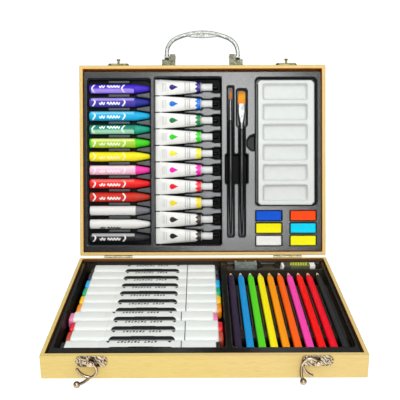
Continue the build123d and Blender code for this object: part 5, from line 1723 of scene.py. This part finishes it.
@dataclass
class Pastels:
    """Twelve round oil pastels with blunt tips, in printed paper."""

    left: float = -138.9
    first: float = 21.5
    pitch: float = 16.65
    axis_depth: float = 10.1
    length: float = 74.2
    radius: float = 5.8
    wrap: float = 56.3
    tip_radius: float = 3.0
    paper: float = 0.25
    lap: Triple = (0.1, 4.2, 0.8)
    facets: float = 0.55
    roll: float = 0.15
    ink_lift: float = 0.035
    count: int = 12
    waxes: Colours = (
        "#1f2124", "#eceae6", "#77777e", "#c03018", "#ee0c14", "#f43ca8",
        "#f2ea0c", "#3ed404", "#02a082", "#02aee2", "#141f8c", "#3c20c4",
    )
    papers: Colours = (
        "#121214", "#e8e7e4", "#e6e6e3", "#d02008", "#ec120c", "#f2c4da",
        "#f6e60a", "#a8d22e", "#0a8468", "#08aee2", "#4434a4", "#3616c0",
    )
    low_bands: Marks = ((8, "#9fdabb"), (11, "#a78cee"))
    high_bands: Marks = (
        (0, "#aeaeae"), (4, "#f4615c"), (5, "#f8dcea"), (7, "#e2ec92"), (9, "#6ccdf2"), (10, "#a294e2"),
    )
    left_marks: Marks = ((8, "#f2fff8"), (11, "#f4f0ff"))
    right_marks: Marks = (
        (0, "#f0f0f0"), (3, "#fbf4f0"), (4, "#fbf4f2"), (5, "#fbeef4"), (6, "#fbf6b0"),
        (7, "#f2f8d8"), (9, "#f2fcff"), (10, "#f4f4ff"),
    )
    dark_marks: Marks = ((1, "#2a2a2c"),)
    bare_ends: Marks = ((3, "#b8401c"), (7, "#3ed404"), (11, "#32189c"))

    def stick(self) -> Mesh:
        """One stick, whose tip is cut into soft facets."""
        body, tip, end = self.radius - self.paper - 0.05, self.tip_radius, self.length
        shoulder = self.wrap + 2.4
        profile = [
            (0.0, body - 0.9), (0.2, body - 0.25), (0.9, body), (shoulder, body),
            (shoulder + 1.0, body - 0.15), (end - 1.6, tip + 0.25), (end - 0.5, tip - 0.35), (end, tip - 1.2),
        ]
        angles = [2 * math.pi * number / 40 for number in range(40)]
        eighth = math.pi / 8
        sides = [math.cos(eighth) / math.cos((angle % (2 * eighth)) - eighth) for angle in angles]
        rings = []
        for x, radius in profile:
            facet = max(0.0, min(1.0, (x - shoulder) / 3.0)) * self.facets
            rings.append(ring(x, [radius * (1 + facet * (side - 1)) for side in sides]))
        return Form().loft(rings).mesh("pastel_stick")

    def wrapper(self) -> Mesh:
        """One wrapper, a tube of paper with a lapped edge."""
        lap, start, run = self.lap
        angles = [2 * math.pi * number / 48 for number in range(48)]
        drops = [
            (lap - lap * max(0.0, 1 - ((angle - start) % (2 * math.pi)) / run)) / 2 for angle in angles
        ]
        inside, edge, outside = self.radius - self.paper, self.radius - 0.04, self.radius
        profile = [
            (0.4, inside), (0.4, edge), (0.7, outside),
            (self.wrap - 0.3, outside), (self.wrap, edge), (self.wrap, inside),
        ]
        rings = [ring(x, [radius - drop for drop in drops]) for x, radius in profile]
        return Form().loft(rings, caps=False).mesh("pastel_wrapper")

    def face(self, x: float, y: float) -> Vector:
        """Place on the wrapper a hair above it; Y is measured round it from its top."""
        angle, reach = y / self.radius, self.radius + self.ink_lift
        return Vector((x, reach * math.sin(angle), reach * math.cos(angle)))

    def band(self, low: float, high: float, start: float = 2.4) -> Mesh:
        """Makes a paler band along the wrapper, with fine slanted strokes on its edge.

        Args:
            low: Where it starts round the wrapper.
            high: Where it ends.
            start: Where it starts along the wrapper.

        Returns:
            The mesh.
        """
        form = Form()
        run = np.linspace(start, self.wrap - 1.4, 24)
        form.patch(self.face, [[(x, y) for x in run] for y in np.linspace(low, high, 6)])
        for place in np.arange(start + 0.4, self.wrap - 3.0, 1.3):
            path = [(place + 0.8 * s, high + 0.2 + 1.0 * s) for s in np.linspace(0, 1, 3)]
            form.stroke(self.face, path, 0.55)
        return form.marks("pastel_band")

    def brackets(self, way: float) -> Mesh:
        """Makes a brushed stroke near each end of the wrapper.

        Args:
            way: The side that they are bowed to, and how far.

        Returns:
            The mesh.
        """
        form = Form()
        for x in (5.4, 42.0):
            path = [(x + way * (2.0 - 3.6 * abs(s) ** 1.3), 5.6 * s) for s in np.linspace(-1, 1, 13)]
            form.stroke(self.face, path, 1.8)
        return form.marks("pastel_brackets")

    def waves(self, middle: float) -> Mesh:
        """Makes two short brushed waves between the strokes.

        Args:
            middle: Where they lie round the wrapper.

        Returns:
            The mesh.
        """
        form = Form()
        for low, high in ((12.6, 19.2), (22.0, 37.6)):
            wave = [(x, middle + 1.5 * math.sin(x * 1.7)) for x in np.linspace(low, high, 44)]
            form.stroke(self.face, wave, 1.4)
            form.stroke(self.face, [(low, middle - 0.9), (high, middle - 0.7)], 0.5)
        return form.marks("pastel_waves")

    def bare_end(self) -> Mesh:
        """The wax that shows at the blunt end, where the paper starts late."""
        lines = [[(x, y) for x in (0.45, 1.2, 2.5)] for y in np.linspace(-9.0, 9.0, 25)]
        return Form().patch(self.face, lines, turned=True).marks("pastel_end")

    def paper_finish(self, name: str, colours: Colours) -> StreakFinish:
        """Gives paper in each stick's colour, with fibres and a light gloss from the ink.

        Args:
            name: Name of the finish.
            colours: Its colours.

        Returns:
            The finish.
        """
        return StreakFinish(
            name, colours, colours[0], rough=0.5, gloss=0.3, streaks=Noise(2.6, 4, 0.7), run=0.5,
            dents=Noise(0.2, 2), shade=(0.14, "#2a2a30"), sheen=(0.4, 0.62), depth=0.05,
        )

    def wax_finish(self) -> StreakFinish:
        """Soft wax with smears and small dents."""
        return StreakFinish(
            "pastel_wax", self.waxes, "#ffffff", rough=0.42, gloss=0.35, streaks=Noise(1.0, 4, 0.6),
            run=0.2, dents=Noise(0.8, 3, 0.6), shade=(0.16, "#1a1a24"), sheen=(0.32, 0.55), depth=0.09,
        )

    def build(self) -> None:
        """Makes the pastels in place of their solids."""
        seat = Seat(Half.LID, "pastels")
        places = [(self.left, self.first + self.pitch * row, -self.axis_depth) for row in range(self.count)]
        wax = self.wax_finish().material()
        paper = self.paper_finish("pastel_paper", self.papers).material()
        for name, piece, slot, finish, node in (
            ("pastel_sticks_dressed", self.stick(), "pastel_wax", wax, "pastel_sticks"),
            ("pastel_wrappers_dressed", self.wrapper(), "pastel_paper", paper, "pastel_wrappers"),
        ):
            seat.lay(name, piece, slot, finish, places, node, roll=self.roll)
        for name, piece, marked in (
            ("pastel_low_bands", self.band(-6.6, -1.0), self.low_bands),
            ("pastel_high_bands", self.band(1.8, 6.0), self.high_bands),
            ("pastel_left_strokes", self.brackets(-1.0), self.left_marks),
            ("pastel_right_strokes", self.brackets(1.0), self.right_marks),
            ("pastel_high_waves", self.waves(2.6), self.left_marks),
            ("pastel_middle_waves", self.waves(-1.6), self.right_marks),
            ("pastel_low_waves", self.waves(-5.2), self.dark_marks),
            ("pastel_bare_ends", self.bare_end(), self.bare_ends),
        ):
            numbers, colours = zip(*marked)
            ink = self.paper_finish(name, colours).material()
            seat.lay(name, piece, "pastel_paper", ink, [places[number] for number in numbers])


@dataclass
class Tubes:
    """Ten laminate tubes of paint with crimped ends and fluted caps."""

    left: float = -58.0
    first: float = 23.2
    pitch: float = 20.36
    axis_depth: float = 10.8
    crimp_width: float = 20.0
    crimp_length: float = 5.0
    crimp: float = 1.4
    shoulder: float = 56.0
    radius: float = 6.7
    cap_start: float = 57.5
    cap_length: float = 12.7
    cap_radius: float = 4.55
    neck_radius: float = 3.4
    neck_end: float = 65.3
    flutes: int = 24
    flute: float = 0.22
    zigzag: float = 50.2
    teeth: tuple[int, int, float] = (4, 6, 3.0)
    drop: Triple = (20.6, 3.3, 28.2)
    dashes: tuple[Pair, ...] = ((36.8, 1.5), (39.4, 0.8), (42.0, 1.9))
    lines: Triple = (9.0, 10.6, 13.0)
    ink_lift: float = 0.04
    count: int = 10
    steps: int = 11
    folds: tuple[Pair, ...] = (
        (0.0, 0.75), (0.15, 1.0), (1.0, 1.0), (1.15, 0.7), (1.3, 0.7), (1.45, 1.0),
        (2.5, 1.0), (2.65, 0.7), (2.8, 0.7), (2.95, 0.95), (4.6, 0.95),
    )
    sections: tuple[float, ...] = (5.4, 7.0, 9.0, 12, 16, 20, 25, 30, 35, 40, 45, 50, 54, 55.6)
    colours: Colours = (
        "#141416", "#33261c", "#f4dc0c", "#ee0c2c", "#ee14b4",
        "#f0ee30", "#34d41c", "#06803c", "#0a74dc", "#24127c",
    )

    def half_sizes(self, x: float) -> Pair:
        """Gives the half width and the half thickness of a tube.

        Args:
            x: Distance from its crimped end.

        Returns:
            The two.
        """
        share = min(max((x - self.crimp_length) / (self.shoulder - self.crimp_length), 0.0), 1.0)
        width = self.crimp_width + share * (2 * self.radius - self.crimp_width)
        thick = self.crimp + math.sin(math.pi / 2 * share) * (2 * self.radius - self.crimp)
        return width / 2, thick / 2

    def body(self) -> Mesh:
        """One tube, folded twice at its crimp, with a shoulder and a neck."""
        width = self.crimp_width - 1.0
        rings = [bar_ring(x, width, self.crimp * full, 0.2, self.steps) for x, full in self.folds]
        round_places = [(56.1, 6.3), (57.0, 4.4), (self.cap_start, self.neck_radius),
                        (self.neck_end, self.neck_radius)]
        sizes = [(x, *self.half_sizes(x)) for x in self.sections] + [(x, r, r) for x, r in round_places]
        for x, wide, thick in sizes:
            rings.append([Vector((x, y, z)) for y, z in oval(wide, thick, self.steps)])
        return Form().loft(rings).mesh("tube_body", smooth=0.5)

    def cap(self) -> Mesh:
        """One cap, fluted round its side, with a hollow for the neck."""
        start, end = self.cap_start + 0.05, self.cap_start + self.cap_length
        bore, side = self.neck_radius + 0.1, self.cap_radius
        rings = []
        for x, radius, flute in (
            (start + 6.0, bore, 0.0), (start, bore, 0.0), (start, side - 0.2, 0.0), (start + 0.2, side, 0.0),
            (start + 1.2, side, 0.0), (start + 1.4, side, self.flute), (end - 0.8, side - 0.12, self.flute),
            (end - 0.35, side - 0.35, 0.1), (end - 0.05, side - 0.8, 0.0), (end, side - 1.5, 0.0),
            (end - 0.4, side - 1.7, 0.0),
        ):
            rings.append(ring(x, [radius - flute * (n % 4 < 2) for n in range(4 * self.flutes)]))
        form = Form().loft(rings, caps=False)
        form.disc(rings[0])
        form.disc(rings[-1])
        return form.mesh("tube_cap", smooth=0.5)

    def face(self, x: float, y: float) -> Vector:
        """Gives a place on the upper side of a tube, a hair above it.

        Args:
            x: Distance from the crimped end.
            y: Share of the way round from the middle line to the side.

        Returns:
            The point.
        """
        wide, thick = self.half_sizes(x)
        angle = math.pi / 2 * min(max(y, -0.999), 0.999)
        wide, thick = wide + self.ink_lift, thick + self.ink_lift
        return Vector((x, wide * math.sin(angle), thick * math.cos(angle)))

    def across(self, x: float, width: float) -> Pair:
        """Place on a tube at a distance from its middle line, in millimetres."""
        share = max(-0.99, min(0.99, width / self.half_sizes(x)[0]))
        return x, 2 / math.pi * math.asin(share)

    def marks(self) -> Mesh:
        """A drop and a band with a toothed edge, both in the colour of the paint."""
        form = Form()
        teeth, per_tooth, depth = self.teeth
        band = []
        for number, y in enumerate(np.linspace(-0.98, 0.98, teeth * per_tooth + 1)):
            bite = depth * abs(2 * (number % per_tooth) / per_tooth - 1)
            start = self.zigzag + bite - depth / 2
            band.append([(x, y) for x in np.linspace(start, self.shoulder - 0.1, 6)])
        form.patch(self.face, band, turned=True)
        centre, radius, point = self.drop
        outline = [
            (centre - radius * math.cos(a), radius * math.sin(a)) for a in np.linspace(0, 0.62 * math.pi, 14)
        ]
        last_x, last_reach = outline[-1]
        for share in np.linspace(0.15, 1.0, 8):
            outline.append((last_x + (point - last_x) * share, last_reach * (1 - share) ** 1.15))
        drop = [[self.across(x, s * reach) for s in (-1, -0.5, 0, 0.5, 1)] for x, reach in outline]
        return form.patch(self.face, drop, turned=True).marks("tube_marks")

    def ticks(self) -> Mesh:
        """Columns of tiny grey dashes in place of small print, and fine lines by the crimp."""
        form = Form()
        for x, width in self.dashes:
            for y in np.linspace(-5.2, 5.2, 9):
                form.stroke(self.face, [self.across(x, y - 0.35), self.across(x, y + 0.35)], width)
        for x in self.lines:
            form.stroke(self.face, [self.across(x, y) for y in np.linspace(-5.0, 5.0, 9)], 0.4)
        return form.marks("tube_ticks")

    def slit(self) -> Mesh:
        """The dark slit at the folded end."""
        run = [(x, 0.0) for x in np.linspace(0.5, 4.4, 6)]
        return Form().stroke(self.face, run, 1.3).marks("tube_slit")

    def build(self) -> None:
        """Makes the tubes in place of their solids."""
        seat, lid = Seat(Half.LID, "tubes"), Half.LID
        places = [(self.left, self.first + self.pitch * row, -self.axis_depth) for row in range(self.count)]
        laminate, white = "tube_laminate", "tube_cap_white"
        for name, piece, slot, finish, spots, node in (
            ("tube_bodies_dressed", self.body(), laminate,
             PlasticFinish(laminate, ("#f2f2ee",), 0.34, lid, coat=0.2, mottle=0.1, texture=0.12),
             places, "tube_bodies"),
            ("tube_caps_dressed", self.cap(), white,
             PlasticFinish(white, ("#e2e4e2",), 0.38, lid, mottle=0.08), places, "tube_caps"),
            ("tube_marks", self.marks(), laminate,
             PlasticFinish("tube_ink", self.colours, 0.3, lid, coat=0.3, texture=0.08), places, None),
            ("tube_ticks", self.ticks(), laminate,
             PlasticFinish("tube_small_marks", ("#a3a6a3",), 0.45, lid, mottle=0.2), places, None),
            ("tube_slits", self.slit(), laminate,
             PlasticFinish("tube_slit", ("#131413",), 0.5, lid, gloss=0.1), places[:-1], None),
        ):
            seat.lay(name, piece, slot, finish.material(), spots, node)


@dataclass
class Brush:
    """A brush with a lacquered handle, a metal ferrule and bristles."""

    name: str
    x: float
    ferrule: Pair
    bristle_length: float
    depth: float = 8.3
    tip: float = 23.9
    flat_width: float = 0.0
    flat_thickness: float = 0.0
    straight: float = 8.0
    root_radius: float = 2.45
    mouth_radius: float = 2.1
    belly: float = 3.1
    belly_share: float = 0.72
    end_radius: float = 1.2
    end_rings: tuple[Pair, ...] = ((0.0, 0.7), (0.25, 1.0), (1.0, 1.2))
    rolls: tuple[Triple, ...] = ((0, 2.6, -0.22), (0, 4.4, -0.22), (1, -3.4, -0.2), (1, -5.0, -0.2))
    roll_width: float = 0.55
    lip: float = -0.12
    hair: tuple[str, str] = ("#f09a2c", "#a05a1c")
    strand_rings: tuple[Pair, ...] = ((0.0, 0.16), (0.35, 0.15), (0.7, 0.11), (1.0, 0.02))
    strands: int = 420
    rim: float = 0.35
    root: float = 0.6
    ragged: Pair = (0.03, 12.9898)
    thinner: float = 0.85

    def section(self, along: float) -> Pair:
        """Gives the half sizes of the ferrule across X and in depth.

        Args:
            along: Distance up the lid.

        Returns:
            The two.
        """
        low, high = self.ferrule
        root = self.root_radius
        if not self.flat_width:
            radius = root + (self.mouth_radius - root) * (along - low) / (high - low)
            return radius, radius
        share = min(max((along - low) / (high - self.straight - low), 0.0), 1.0)
        ease = share * share * (3 - 2 * share)
        return root + (self.flat_width / 2 - root) * ease, root + (self.flat_thickness / 2 - root) * ease

    def across(self, along: float, wide: float, thick: float) -> list[Vector]:
        """Gives a ring round the brush: an oval, or a rounded strip where it is flat.

        Args:
            along: Distance up the lid.
            wide: Half width.
            thick: Half thickness.

        Returns:
            Its points.
        """
        flat = wide > thick * 1.3
        outline = rounded(2 * wide, 2 * thick, thick * 0.98, 9) if flat else oval(wide, thick, 9)
        return [Vector((self.x + a, along, -self.depth + b)) for a, b in outline]

    def swell(self, share: float) -> float:
        """Gives the radius of the handle.

        Args:
            share: Share of the way from its end to the ferrule.

        Returns:
            The radius.
        """
        if share > 0.99:
            return self.root_radius - 0.12
        if share > self.belly_share:
            past = (share - self.belly_share) / (1 - self.belly_share)
            full = 1 - past**2 * (1 - (self.root_radius - 0.1) / self.belly) * 1.25
        else:
            full = math.sin(math.pi * (share / self.belly_share) / 2) ** 0.9
        radius = self.end_radius + (self.belly - self.end_radius) * max(full, 0.05) * 0.98
        return min(radius, self.belly)

    def handle(self) -> Mesh:
        """The turned handle."""
        length = self.ferrule[0] - self.tip
        profile = [(self.tip + place, radius) for place, radius in self.end_rings]
        profile += [(self.tip + length * s - 0.02, self.swell(s)) for s in np.linspace(0.02, 1.0, 26)]
        rings = [self.across(place, radius, radius) for place, radius in profile]
        return Form().loft(rings).mesh(self.name + "_handle")

    def sheath(self) -> Mesh:
        """The ferrule, rolled twice where it grips the bristles and twice at the handle."""
        low, high = self.ferrule
        rings = []
        for along in sorted([*np.linspace(low, high, 44), low + 0.05, high - 0.05]):
            wide, thick = self.section(along)
            grow = sum(
                depth * math.exp(-(((along - (self.ferrule[end] + shift)) / self.roll_width) ** 2))
                for end, shift, depth in self.rolls
            )
            grow += self.lip if along in self.ferrule else 0.0
            rings.append(self.across(along, wide + grow, thick + grow))
        return Form().loft(rings).mesh(self.name + "_ferrule")

    def strand(self) -> Mesh:
        """One strand of unit length, tapering, bent a little to one side."""
        rings = []
        for share, radius in self.strand_rings:
            bend = 0.5 * share * share
            rings.append([
                Vector((radius * math.cos(a) + bend, share, radius * math.sin(a)))
                for a in (0.0, 2.094, 4.189)
            ])
        return Form().loft(rings).mesh(self.name + "_strand", smooth=1.2)

    def tuft(self) -> dict[str, list[Triple]]:
        """Sets all the strands close in the ferrule's mouth.

        Returns:
            The places, turns and sizes of the strands.
        """
        places, turns, sizes = [], [], []
        wide, thick = self.section(self.ferrule[1])
        golden = math.pi * (3 - math.sqrt(5))
        ragged, salt = self.ragged
        longest = self.bristle_length + 0.5
        for number in range(self.strands):
            reach = math.sqrt((number + 0.5) / self.strands)
            angle = number * golden
            side, up = reach * math.cos(angle), reach * math.sin(angle)
            inward, shorter = 0.075 * reach, 0.4 * reach**2
            if self.flat_width:
                side, up = np.sign(side) * abs(side) ** 0.8, up * 0.9
                inward, shorter = 0.02, 0.06 * reach
            x, depth = self.x + side * (wide - self.rim), -self.depth + up * (thick - self.rim)
            places.append((x, self.ferrule[1] - self.root, depth))
            turns.append((-inward * math.sin(angle), 0.0, inward * math.cos(angle)))
            length = longest * (1 - shorter + ragged * math.sin(number * salt) * (1 - reach))
            sizes.append((self.thinner, min(length, longest), self.thinner))
        return {"places": places, "turns": turns, "sizes": sizes}

    def build(self, lacquer: Material, metal: Material) -> None:
        """Makes the brush in place of its solids.

        Args:
            lacquer: Material of the handle.
            metal: Material of the ferrule.
        """
        body = self.name
        seat = Seat(Half.LID, body)
        run = (self.ferrule[1], self.ferrule[1] + self.bristle_length)
        hair = HairFinish(body + "_hair", *self.hair, run).material()
        seat.settle(body + "_handle_dressed", self.handle(), "brush_lacquer", lacquer, body + "_handle")
        seat.settle(body + "_ferrule_dressed", self.sheath(), "ferrule_metal", metal, body + "_ferrule")
        seat.lay(body + "_tuft", self.strand(), "bristle", hair, stands_for=body + "_bristles", **self.tuft())


@dataclass
class PaletteAndCakes:
    """The white mixing palette with six wells, and six cakes of watercolour."""

    box: Box = (67.6, 136.8, 61.3, 213.9)
    top_depth: float = 4.0
    thickness: float = 8.0
    corner: float = 4.5
    edge_gap: float = 0.25
    rounding: Pair = (0.55, 0.3)
    cell: float = 0.8
    well_count: int = 6
    well_x: float = 101.35
    well_first: float = 75.9
    well_pitch: float = 24.8
    well: Pair = (55.3, 20.4)
    well_corner: float = 2.5
    well_steps: tuple[Pair, ...] = ((-0.1, 0.35), (0.75, 3.8), (2.2, 4.8))
    cake: Triple = (30.8, 11.8, 0.9)
    cake_profile: tuple[Pair, ...] = (
        (0.25, -5.0), (0.0, -4.7), (0.0, -0.8), (0.12, -0.35), (0.4, -0.08),
        (0.9, 0.0), (2.2, -0.1), (4.2, -0.3),
    )
    cake_depth: float = 3.9
    cake_columns: Pair = (80.9, 123.15)
    cake_rows: Triple = (17.5, 32.8, 48.1)
    colours: Colours = ("#f2f3f0", "#fcf400", "#0056d6", "#fcfa10", "#00d8f6", "#ff4a06")

    def plate(self) -> Mesh:
        """The palette, with flared wells and a softened edge."""
        low_x, high_x, low, high = self.box
        gap = self.edge_gap
        rim = box_distance((low_x + gap, high_x - gap, low + gap, high - gap), self.corner - gap)
        sheet = PressedSheet((low_x - 1, high_x + 1), (low - 1, high + 1), -self.top_depth, self.cell)
        sheet.outline = rim
        for number in range(self.well_count):
            middle = self.well_first + number * self.well_pitch
            for inset, level in self.well_steps:
                well = around(self.well_x, middle, self.well[0] / 2 - inset, self.well[1] / 2 - inset)
                sheet.press(box_distance(well, self.well_corner), level)
        width, level = self.rounding
        sheet.press(lambda x, y: -rim(x, y) - width, level)
        return sheet.mesh("palette_dressed", self.thickness)

    def cake_form(self) -> Mesh:
        """One cake, slightly dished, with soft edges."""
        length, width, corner = self.cake
        rings = []
        for inset, height in self.cake_profile:
            outline = rounded(length - 2 * inset, width - 2 * inset, max(corner - inset, 0.05), 5)
            rings.append([Vector((x, y, height)) for x, y in outline])
        return Form().loft(rings).mesh("paint_cake")

    def build(self) -> None:
        """Makes the palette and the cakes in place of their solids."""
        white = PlasticFinish("palette_white", ("#d8dcd9",), 0.32, Half.LID, texture=0.05, gloss=0.25)
        Seat(Half.LID, "palette_body").settle(
            "palette_dressed", self.plate(), "palette_white", white.material(), "palette"
        )
        places = [(x, along, -self.cake_depth) for x in self.cake_columns for along in self.cake_rows]
        pigment = PigmentFinish(self.colours).material()
        Seat(Half.LID, "cakes").lay(
            "paint_cakes_dressed", self.cake_form(), "paint_cake", pigment, places, "paint_cakes"
        )


@dataclass(frozen=True)
class Lamp:
    """A soft light: where it stands and what it faces, in metres, its size and its power."""

    name: str
    place: Triple
    aim: Triple
    size: Pair
    power: float

    def build(self) -> None:
        """Adds the light."""
        data = bpy.data.lights.new(self.name, "AREA")
        data.shape = "RECTANGLE"
        data.size, data.size_y = self.size
        data.energy = self.power
        lamp = bpy.data.objects.new(self.name, data)
        lamp.location = self.place
        way = Vector(self.aim) - Vector(self.place)
        lamp.rotation_euler = way.to_track_quat("-Z", "Y").to_euler()
        bpy.context.scene.collection.objects.link(lamp)


@dataclass
class Studio:
    """A white floor, soft lights and the camera."""

    camera_place: Triple = (-0.00409, -0.68459, 0.35394)
    yaw: float = -0.05
    pitch: float = -17.764
    roll: float = 0.1687
    lens: float = 63.72
    sensor: float = 36.0
    floor_size: float = 60.0
    floor_glow: float = 0.95
    sky: float = 0.55
    band: Pair = (0.3, 0.75)
    dim: float = 0.3
    lamps: tuple[Lamp, ...] = (
        Lamp("key", (-0.5, -0.9, 1.5), (0, 0, 0.1), (1.2, 1.2), 9.8),
        Lamp("fill", (0.9, -0.8, 1.0), (0, 0, 0.1), (1.2, 1.2), 3),
        Lamp("top", (0.0, 0.1, 1.6), (0, 0, 0.1), (1.4, 1.4), 6),
        Lamp("softbox", (0.1, -1.14, 0.78), (0, 0.15, 0.15), (0.36, 0.45), 4.6),
        Lamp("strip", (0.12, -1.14, 0.4), (0, 0.12, 0.05), (0.35, 0.15), 1.6),
    )

    def floor(self) -> None:
        """Adds the floor."""
        half = self.floor_size / 2
        corners = [(-half, -half, 0), (half, -half, 0), (half, half, 0), (-half, half, 0)]
        mesh = bpy.data.meshes.new("floor")
        mesh.from_pydata(corners, [], [(0, 1, 2, 3)])
        glow = {"emission_color": (1, 1, 1, 1), "emission_strength": self.floor_glow}
        mesh.materials.append(Recipe("floor_white", "#7f7f7f", 0.9, **glow).material)
        floor = bpy.data.objects.new("floor", mesh)
        bpy.context.scene.collection.objects.link(floor)

    def camera(self) -> None:
        """Sets the camera where the photograph was taken."""
        data = bpy.data.cameras.new("photo_camera")
        data.lens = self.lens
        data.sensor_width = self.sensor
        camera = bpy.data.objects.new("photo_camera", data)
        turn = (
            Matrix.Rotation(math.radians(self.yaw), 4, "Z")
            @ Matrix.Rotation(math.radians(self.pitch), 4, "X")
            @ Matrix.Rotation(math.radians(self.roll), 4, "Y")
            @ Matrix.Rotation(math.pi / 2, 4, "X")
        )
        camera.matrix_world = Matrix.Translation(self.camera_place) @ turn
        bpy.context.scene.collection.objects.link(camera)
        bpy.context.scene.camera = camera

    def surroundings(self) -> None:
        """Sets a sky that is dim low down, and white where the camera sees it."""
        world = bpy.data.worlds.new("studio")
        world.use_nodes = True
        tree = world.node_tree
        background = tree.nodes["Background"]
        background.inputs["Strength"].default_value = self.sky
        where = add_node(tree, "ShaderNodeTexCoord", {}).outputs["Generated"]
        height = add_node(tree, "ShaderNodeSeparateXYZ", {0: where}).outputs[2]
        band = add_node(tree, "ShaderNodeValToRGB", {0: height})
        shades = ((self.dim, self.dim, self.dim, 1), (1, 1, 1, 1))
        for stop, place, shade in zip(band.color_ramp.elements, self.band, shades):
            stop.position, stop.color = place, shade
        tree.links.new(band.outputs[0], background.inputs["Color"])
        backdrop = add_node(tree, "ShaderNodeBackground", {"Color": (1, 1, 1, 1)}).outputs[0]
        seen = add_node(tree, "ShaderNodeLightPath", {}).outputs["Is Camera Ray"]
        both = add_node(tree, "ShaderNodeMixShader", {0: seen, 1: background.outputs[0], 2: backdrop})
        tree.links.new(both.outputs[0], tree.nodes["World Output"].inputs["Surface"])
        bpy.context.scene.world = world

    def build(self) -> None:
        """Sets up the studio."""
        self.floor()
        self.camera()
        bpy.context.scene.view_settings.view_transform = "Standard"
        for lamp in self.lamps:
            lamp.build()
        self.surroundings()


def main() -> None:
    """Builds the looks of the painting set in order."""
    logging.basicConfig(level=logging.INFO, format="%(name)s: %(message)s")
    Studio().build()
    Woodwork().dress()
    Metalwork().dress()
    BaseTray().build()
    LidTray().build()
    Markers().build()
    Pencils().build()
    SharpenerAndEraser().build()
    Pastels().build()
    Tubes().build()
    lacquer = PlasticFinish("brush_lacquer", ("#141417",), 0.16, Half.LID, coat=0.5).material()
    # The ferrule darkens on faces turned away from the lid's outside as painted shade.
    metal = MetalFinish(
        "ferrule_metal", "#9a9c9b", "#727473", 0.22, 0.38, tarnish_and_shade="#1c1e1b", flat=lid_out(), half=Half.LID
    ).material()
    Brush("round_brush", 34.4, (165.8, 191.2), 14.1).build(lacquer, metal)
    Brush(
        "flat_brush", 48.2, (155.4, 185.9), 15.5, flat_width=9.5, flat_thickness=3.2,
        root_radius=2.5, hair=("#ffc02a", "#ff9210"), strands=460,
    ).build(lacquer, metal)
    PaletteAndCakes().build()


if __name__ == "__main__":
    main()
